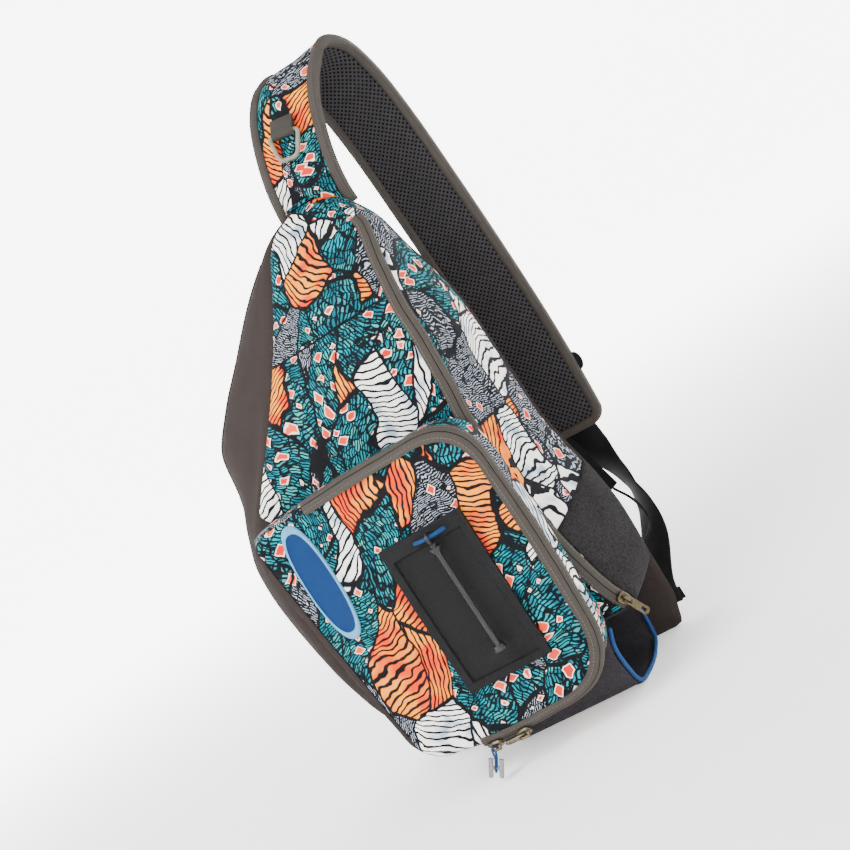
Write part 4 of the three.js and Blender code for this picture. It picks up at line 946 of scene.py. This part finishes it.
# A crowned pad over an outline of (x, y) points, from one level to another
def pad(name, outline, low, high, crown, mat, upright=False):
    centre = Vector([sum(p[c] for p in outline) / len(outline) for c in (0, 1)])
    thick = high - low
    over = [(1.0, low + 0.35 * thick), (1.0, low + 0.65 * thick), (0.985, high - 0.12 * thick), (0.96, high)]
    over += [(0.9, high + crown * 0.4), (0.75, high + crown * 0.8), (0.5, high + crown), (0.2, high + crown)]
    under = [(0.985, low + 0.12 * thick), (0.96, low), (0.5, low), (0.2, low)]
    rings, uvs = [], []
    for share, level in [*reversed(over), *under]:
        ring = [centre + (Vector(p) - centre) * share for p in outline]
        if upright:
            rings.append([(q.x, BODY_BACK + SEAM + level, q.y) for q in ring])
        else:
            rings.append([(q.x, q.y, level) for q in ring])
        uvs += [(q.x, q.y) for q in ring]
    return stacked(name, rings, uvs, mat, sharp=60)


def body_ends():
    def outline(at):
        return [tuple(body_at(s, at).xy) for s in steps(90, 0, 3)]

    piece = pad("base_cloth", outline(0), BODY_BASE - CLOTH - SEAM, BODY_BASE - SEAM, 0, charcoal)
    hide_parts("bottom_panel")
    piece = pad("crown_cloth", outline(1), BODY_TOP + SEAM, BODY_TOP + SEAM + 2, 1, printed)
    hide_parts("top_panel")


def back_pad():
    def reach(key, size, z):
        return size * column(BODY, key, (z - BODY_BASE) / BODY_HEIGHT)

    top = STRAP_ROOT_LEVEL - SEAM
    levels = [*steps(60, BASE_LEVEL + 14, top - 12), top - 6, top]
    right = [(reach(RIGHT_BACK, RIGHT_REACH, z) - BACK_EDGE / 2, z) for z in levels]
    left = [(-reach(LEFT_BACK, LEFT_REACH, z) - BACK_EDGE, z) for z in reversed(levels)]
    foot = [(0, 0), (0.5, 0), (0.93, 0), (0.985, 1.5), (1, 5), (1.05, 24)]
    foot_right = [(x * BACK_FOOT_RIGHT, z) for x, z in foot]
    foot_left = [(-x * BACK_FOOT_LEFT, z) for x, z in reversed(foot[1:])]
    outline = foot_right + right + left + foot_left
    piece = pad("back_pad", outline, 0, BACK_THICK - 1, 1.6, grey, upright=True)
    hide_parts("back_panel")


TAPE_ACROSS = [-1, -0.985, -0.8, -0.45, -0.12, -0.05, 0, 0.05, 0.12, 0.45, 0.8, 0.985, 1]


def tape_lift(i, j, p):
    a = abs(TAPE_ACROSS[i])
    groove = -0.45 if a < 0.03 else (-0.2 if a < 0.08 else 0)
    return groove - (0.35 if a > 0.98 else 0) + 0.25 * (1 - a) + rumple(p, 15, 0.35, 2)


def zip_bands():
    levels = [v for v in LEVELS if v <= ZIP_TOP + 1e-6]
    piece = skin(
        "main_zip_band", body_at, 1, TAPE_ACROSS, levels,
        lambda a, at: (beside_zip(at, a * TAPE_WIDTH / 2), at),
        COVER_GAP + TAPE_THICK - 0.2, COVER_GAP, tape, tape_lift,
    )
    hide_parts("main_zip_tape")
    rim = 0.5 * pi * RIM_ROUND
    half = TAPE_WIDTH / 2 / rim
    piece = skin(
        "pocket_zip_band", lambda u, v: pocket_at(v, u), 1, TAPE_ACROSS,
        steps(150, POCKET_ZIP_START - 0.02, POCKET_ZIP_END + 0.02),
        lambda a, s: (2.5 + a * half, s),
        POCKET_GAP + TAPE_THICK - 0.2, POCKET_GAP - 0.3, tape, tape_lift,
    )
    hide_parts("pocket_zip_tape")


def felt_patch():
    us = [0, 0.01, 0.03, *steps(18, 0.06, 0.94), 0.97, 0.99, 1]
    vs = [0, 0.01, 0.03, *steps(30, 0.05, 0.95), 0.97, 0.99, 1]

    def felt_lift(i, j, p):
        edge = min(min(us[i], 1 - us[i]) * 60, min(vs[j], 1 - vs[j]) * 80)
        return dip(edge, 1.6, 1.6) + rumple(p, 22, 1.6, 4) * min(1, edge / 10)

    def felt_grid(u, v):
        at = mix(0.2, 0.25, u) * v
        return mix(beside_zip(at, TAPE_WIDTH / 2 + 1), 2.96, u), at

    top = COVER_GAP + PATCH_THICK
    piece = skin("fly_patch_felt", body_at, 1, us, vs, felt_grid, top, COVER_GAP, fleece, felt_lift)
    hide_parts("fly_patch")


def pocket_pieces():
    rim = 0.5 * pi * RIM_ROUND

    def gap(station):
        s = station % 4
        return (SLOT if POCKET_ZIP_START < s < POCKET_ZIP_END else SEAM) / 2 / rim

    # The seam between wall and front, which lies further in along the grey left side
    def edge(station):
        s = station % 4
        return 2.5 + 0.5 * smooth((s - 3) / 0.1) * smooth((4 - s) / 0.1)

    shares = [*steps(6, 0, 0.12), *steps(24, 0.16, 0.84), *steps(4, 0.88, 0.98)]
    around = [s + t for s in range(4) for t in shares]
    depths = [0, 0.03, 0.08, *steps(9, 0.14, 1)]

    # The pocket's wall from one corner station to another
    def wall(name, low, high, mat):
        between = [s for s in around if low + 0.01 < s < high - 0.01]
        cols = [low + CORNER_SEAM, *between, high - CORNER_SEAM]

        def grid(s, d):
            return s, mix(1.001, edge(s) - gap(s), d)

        def lift(i, j, p):
            soft = min(1, j / 4, (len(depths) - 1 - j) / 3)
            ends = dip(min(i, len(cols) - 1 - i) * 2.4, 0.6)
            return rumple(p, 20, 1.4, 6) * soft + dip(j * 2.0, 0.8) + ends

        piece = skin(name, pocket_at, -1, cols, depths, grid, 0, -CLOTH, mat, lift)
        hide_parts("pocket_shell")

    wall("pocket_side_cloth", 0, 3, printed_side)
    wall("pocket_grey_side", 3, 4, grey)
    depths_front = [0, 0.06, 0.14, 0.24, *steps(26, 0.3, 0.985)]

    def face_lift(i, j, p):
        inward = (depths_front[j] - 0.24) * 90
        soft = min(1, max(0, inward / 16))
        beside = max(0, abs(p.x - PLATE_X) - PLATE_HALF_WIDTH)
        above = max(0, abs(p.z - PLATE_Z) - PLATE_HALF_HEIGHT)
        pressed = exp(-(beside / 9) ** 2 - (above / 9) ** 2)
        folds = rumple(p, 44, 3.6, 8) + rumple(p, 17, 1.2, 1)
        ripple = pucker(inward, around[i] * 200, 0.5) * min(1, max(0, inward / 3))
        return (folds * soft + ripple) * (1 - 0.95 * pressed)

    piece = skin(
        "pocket_face_cloth", pocket_at, -1, around, depths_front,
        lambda s, d: (s, mix(edge(s) + gap(s), 4, d)),
        0, -CLOTH, printed_pocket, face_lift, closed=True, pole=True,
    )
    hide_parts("pocket_front")


def face_at(x, z):
    return Vector((x, pocket_face(x, z), z))


def oval(station, ring):
    a = 2 * pi * station
    c, s = cos(a), sin(a)
    across = (1 if s > 0 else -1) * abs(s) ** 0.8 * 0.5 * PATCH_WIDTH * ring
    up = (1 if c > 0 else -1) * abs(c) ** 0.9 * 0.5 * PATCH_LENGTH * ring
    return face_at(PATCH_X + across, PATCH_Z + up)


# Rings of the oval patch: share of its outline, and height over the cloth
OVAL = [
    (1, 0),
    (1, 0.7),
    (0.985, 1.4),
    (0.95, 1.9),
    (0.9, 1.9),
    (0.85, 1.6),
    (0.82, 1.3),
    (0.8, 1.2),
    (0.6, 1.25),
    (0.4, 1.3),
    (0.2, 1.3),
    (0.05, 1.3),
]


def blue_oval():
    around = [k / 96 + 1e-4 for k in range(96)]
    rings, uvs = [], []
    for share, height in OVAL:
        rings.append([oval(a, share) + Vector((0, -COVER_GAP - height, 0)) for a in around])
        uvs += [(a * 190, (1 - share) * 17) for a in around]
    piece = stacked("blue_oval_patch", rings, uvs, patch_blue)
    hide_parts("blue_patch")


def sleeve_pieces():
    across = [0, 0.04, *steps(16, 0.1, 0.84), *steps(8, 0.86, 1.14), *steps(18, 1.18, 1.82)]
    across += [*steps(8, 1.86, 2.14), *steps(12, 2.2, 3)]
    along = [*steps(22, 0, 0.28), *steps(30, 0.3, 0.96), 0.975, 0.985, 0.995, 1]

    def lift(i, j, p):
        from_mouth = (1 - along[j]) * SLEEVE_LENGTH
        hem = 0.5 * smooth((5 - from_mouth) / 1.2)
        soft = min(1, p.z / 18, (SLEEVE_TOP - p.z) / 8, from_mouth / 20, j / 8)
        return hem + max(0, soft) * (rumple(p, 30, 2.4, 2) - 0.6)

    def grid(u, v):
        return u, v

    piece = skin("sleeve_cloth", sleeve_at, 1, across, along, grid, 0, -CLOTH, charcoal, lift)
    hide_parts("bottle_sleeve")
    out = ELASTIC / 2 + SEAM + 0.4
    loop = []
    for station in (0.12, 0.45, 0.8, 1, 1.2, 1.5, 1.8, 2, 2.2, 2.5, 2.75):
        p = sleeve_at(station, 1)
        loop.append((p.x + out, p.y * 0.94, min(max(p.z, ELASTIC / 2 + 0.2), SLEEVE_TOP - 1)))
    piece = bar("mouth_elastic", frames_along(Curve(loop), 90, (1, 0, 0)), disc(ELASTIC / 2, 14), blue_cord)
    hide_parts("sleeve_cord")


STRAP_LENGTH = strap_line.length


def strap_cloth():
    last = 1 - (BINDING_WIDTH + SEAM) / STRAP_LENGTH
    turn = STRAP_CORNER - BINDING_WIDTH - 6 * SEAM
    ends = [last - turn * (1 - sin(0.5 * pi * t)) / STRAP_LENGTH for t in steps(10)]
    start = last - turn / STRAP_LENGTH
    shares = [*steps(134, 0, start - 0.004), *ends]

    def half_at(share):
        into = max(0, turn - (last - share) * STRAP_LENGTH)
        return STRAP_WIDTH / 2 - BINDING_WIDTH - SEAM - (turn - sqrt(max(0, turn**2 - into**2)))

    across = [-1, -0.96, -0.88, *steps(14, -0.75, 0.75), 0.88, 0.96, 1]

    def cover_lift(i, j, p):
        a = abs(across[i])
        crown = COVER_CROWN * (1 - a * a) + dip((1 - a) * 23, 1.2, 2.2)
        return crown + rumple(p, 26, 1.3, 3) * (1 - a)

    def grid(a, share):
        return a * half_at(share), share

    top = COVER_THICK
    piece = skin("strap_print", strap_at, 1, across, shares, grid, top, 0.2, printed_strap, cover_lift)
    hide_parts("strap_cover")

    def net_lift(i, j, p):
        a = abs(across[i])
        return -dip((1 - a) * 23, 1.0, 2.0) - 0.3 + rumple(p, 20, 0.5, 5) * (1 - a)

    top, bottom = -SEAM - 0.4, -SEAM - MESH_THICK
    piece = skin("strap_net", strap_at, 1, across, shares, grid, top, bottom, net, net_lift)
    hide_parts("strap_mesh")


def strap_edge():
    middle = (STRAP_WIDTH - BINDING_WIDTH) / 2
    bend = STRAP_CORNER - BINDING_WIDTH / 2
    inset = BINDING_WIDTH / 2 / STRAP_LENGTH
    shares = [s for s in steps(150) if s < 1 - inset - bend / STRAP_LENGTH - 0.002]
    half = [(-middle, s) for s in shares]
    for t in steps(12):
        a = 0.5 * pi * t
        half.append((-middle + bend * (1 - cos(a)), 1 - inset - bend / STRAP_LENGTH * (1 - sin(a))))
    half += [(x, half[-1][1]) for x in (-12, -6)]
    path = half + [(0, half[-1][1])] + [(-a, s) for a, s in reversed(half)]
    spots = [strap_at(a, s) for a, s in path]
    frames = []
    for i, (a, s) in enumerate(path):
        along = spots[min(i + 1, len(path) - 1)] - spots[max(i - 1, 0)]
        up = strap_frame(s)[3]
        frames.append((spots[i], along.cross(up).normalized(), up))
    w, low, high = BINDING_WIDTH / 2, -SEAM - MESH_THICK, COVER_THICK
    section = [(-w, low + 0.6), (-w + 0.5, low), (-w * 0.5, low - 0.6), (0, low - BINDING_PROUD)]
    section += [(w * 0.5, low - 0.6), (w - 0.5, low), (w, low + 0.6)]
    section += [(w, high - 0.6), (w - 0.5, high), (w * 0.5, high + 0.6), (0, high + BINDING_PROUD)]
    section += [(-w * 0.5, high + 0.6), (-w + 0.5, high), (-w, high - 0.6)]
    piece = bar("strap_edge_tape", frames, section, binding)
    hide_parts("strap_binding")


# The webbing and its tail: points from the strap's end, and how far the band turns there, in degrees
WEB = [
    (6, 0.6, 3, 0),
    (12, -6, -22, 14),
    (20, -12, -48, 44),
    (23, -20, -72, 62),
    (20, -34, -94, 48),
    (13, -54, -112, 22),
    (10, -66, -122, 4),
    (9, -68.2, -129, 0),
    (8, -68.5, -139, 0),
]
TAIL = [(-16, 0.4, 3, 0), (-5, -13, -23, 6), (5, -22, -50, 12)]
web_top = strap_line.point(1)


def band(name, rows, count, width, mat):
    curve = Curve([web_top + Vector(row[:3]) for row in rows])
    frames = []
    for t in steps(count):
        f = t * (len(rows) - 1)
        i = min(len(rows) - 2, int(f))
        turn = radians(mix(rows[i][3], rows[i + 1][3], f - i))
        along = curve.tangent(t)
        across = Vector((cos(turn), -sin(turn), 0))
        across = (across - along * across.dot(along)).normalized()
        frames.append((curve.point(t), across, across.cross(along)))
    w, h = width / 2, WEBBING_THICK / 2
    section = [(-w, -0.5 * h), (-w + 0.5, -h), (w - 0.5, -h), (w, -0.5 * h)]
    section += [(w, 0.5 * h), (w - 0.5, h), (-w + 0.5, h), (-w, 0.5 * h)]
    return bar(name, frames, section, mat)


def webbing_pieces():
    piece = band("strap_web", WEB, 110, WEBBING_WIDTH, black_web)
    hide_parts("strap_webbing")
    piece = band("web_tail", TAIL, 40, WEBBING_WIDTH * 0.8, black_web)
    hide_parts("webbing_tail")
    tail = TAIL[-1]
    end = web_top + Vector((tail[0], tail[1], tail[2] - 2.4))
    edge = Vector((end.x + 6, BODY_BACK + BACK_THICK + 2 * SEAM + KEEPER / 2, end.z - 42))
    route = [end + Vector((4, -0.5, 3.5)), end + Vector((15, -8, -11)), end + Vector((20, -22, -27))]
    route += [edge + Vector((7, 5, 6)), edge]
    piece = bar("thin_loop", frames_along(Curve(route), 60, (0, 1, 0)), disc(KEEPER / 2, 12), black_cord)
    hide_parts("keeper_loop")
    softened("webbing_anchor", "web_anchor", black_web, 0.3)
    softened("strap_edge_tab", "edge_tab", black_web, 0.3)


def ring_pieces():
    point, along, across, out = strap_frame(RING_STATION)
    eye = RING_WIRE / 2 + LOOP_CLEAR
    centre = point + out * (COVER_THICK + COVER_CROWN + SEAM + LOOP_THICK + eye)
    half = RING_WIDTH / 2 - RING_WIRE / 2
    foot = RING_DROP - RING_WIRE
    side = [(half - 2.2, 0), (half - 0.5, -0.7), (half, -2.2), (half * 0.86, -foot * 0.5)]
    side += [(half * 0.7, -foot * 0.85), (half * 0.5, -foot * 0.99)]
    route = [(-half + 2.2, 0), (0, 0), *side, *[(-x, y) for x, y in reversed(side[1:])]]
    curve = Curve([centre + across * x + along * y for x, y in route], closed=True)
    frames = frames_along(curve, 120, out)
    piece = bar("strap_ring", frames, disc(RING_WIRE / 2, 16), ring_finish, True, "ring")
    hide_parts("d_ring")
    softened("ring_webbing", "ring_loop", ring_tape, 0.25)


def small_pieces():
    softened("tippet_plate", "plate_foam_pad", foam, 0.7, segments=3)
    softened("spool_bar", "spool_rod", black_plastic, 0.12, angle=50)
    softened("plate_cord", "plate_elastic", blue_cord, 0.2, angle=60)
    softened("main_zip_slider", "main_slider", antique, 0.22)
    softened("main_zip_pull", "main_pull_tab", antique, 0.2, "main_pull")
    softened("pocket_slider_upper", "upper_slider", antique, 0.22)
    softened("pocket_pull_upper", "upper_pull_tab", antique, 0.2, "pocket_pull")
    softened("pocket_slider_end", "end_slider", antique, 0.22)
    softened("pull_cord", "grip_cord", blue_cord, 0.1, angle=60)
    softened("pull_grip", "grip_h", silver, 0.35)


# Floor and backdrop in one, as a bowl that glows behind the bag
def sweep():
    away = Vector((-sin(radians(20)), cos(radians(20)), 0))
    flat, bend, top, sides = 2.0, 1.2, 2.6, 64
    profile = [(0.02, 0), (flat, 0)]
    profile += [(flat + bend * sin(a), bend * (1 - cos(a))) for a in steps(8, 0.15, 0.5 * pi)]
    profile += [(flat + bend, top)]
    points = []
    for reach, height in profile:
        points += [(x, y, height) for x, y in disc(reach, sides)]
    faces = [tuple(range(sides))]
    for ring in range(len(profile) - 1):
        low, high = ring * sides, (ring + 1) * sides
        for k in range(sides):
            m = (k + 1) % sides
            faces.append((low + k, low + m, high + m, high + k))
    mesh = bpy.data.meshes.new("sweep")
    mesh.from_pydata(points, [], faces)
    mesh.polygons.foreach_set("use_smooth", [True] * len(faces))
    look = Look("pale_sweep")
    tint = look.blend(look.between(look.grain(900, 2), 0.3, 0.7), (0.92, 0.92, 0.92, 1), (0.9, 0.9, 0.905, 1))
    far = look.vector("LENGTH", look.place, output="Value")
    behind = look.vector("DOT_PRODUCT", look.place, away, output="Value")
    # Emission paints light on the sweep: it glows most behind the bag, a little more with distance from the
    # bag, and faintly everywhere else
    glow = look.times(look.between(behind, 0.2, 1.6), 3.8)
    far_glow = look.times(look.between(far, 0.3, 1.8), 0.2)
    glow = look.plus(glow, look.plus(far_glow, 0.45))
    look.put(look.shade.inputs["Emission Strength"], glow)
    look.put(look.shade.inputs["Emission Color"], (1, 1, 1, 1))
    rough = look.plus(look.times(look.grain(300), 0.1), 0.8)
    look.material.cycles.emission_sampling = "NONE"
    mesh.materials.append(look.finish(tint, rough, Specular_IOR_Level=0.1))
    floor_piece = bpy.data.objects.new("sweep", mesh)
    bpy.context.scene.collection.objects.link(floor_piece)


def lamp(name, azimuth, elevation, distance, size, power):
    a, e = radians(azimuth), radians(elevation)
    aim = Vector((0, 0, 0.25))
    spot = Vector((sin(a) * cos(e), -cos(a) * cos(e), sin(e))) * distance + aim
    data = bpy.data.lights.new(name, "AREA")
    data.size = size
    data.energy = power
    made = bpy.data.objects.new(name, data)
    made.location = spot
    made.rotation_euler = (spot - aim).to_track_quat("Z", "Y").to_euler()
    bpy.context.scene.collection.objects.link(made)


def light():
    world = bpy.data.worlds.new("studio")
    world.use_nodes = True
    world.node_tree.nodes["Background"].inputs[0].default_value = (1, 1, 1, 1)
    world.node_tree.nodes["Background"].inputs[1].default_value = 0.3
    bpy.context.scene.world = world

    lamp("key", -30, 46, 1.9, 0.9, 50)
    lamp("fill", 70, 30, 2.2, 1.4, 3)
    lamp("top", 20, 80, 2.0, 1.2, 12)


body_panels()
body_ends()
back_pad()
zip_bands()
felt_patch()
pocket_pieces()
blue_oval()
sleeve_pieces()
strap_cloth()
strap_edge()
webbing_pieces()
ring_pieces()
small_pieces()
sweep()
light()
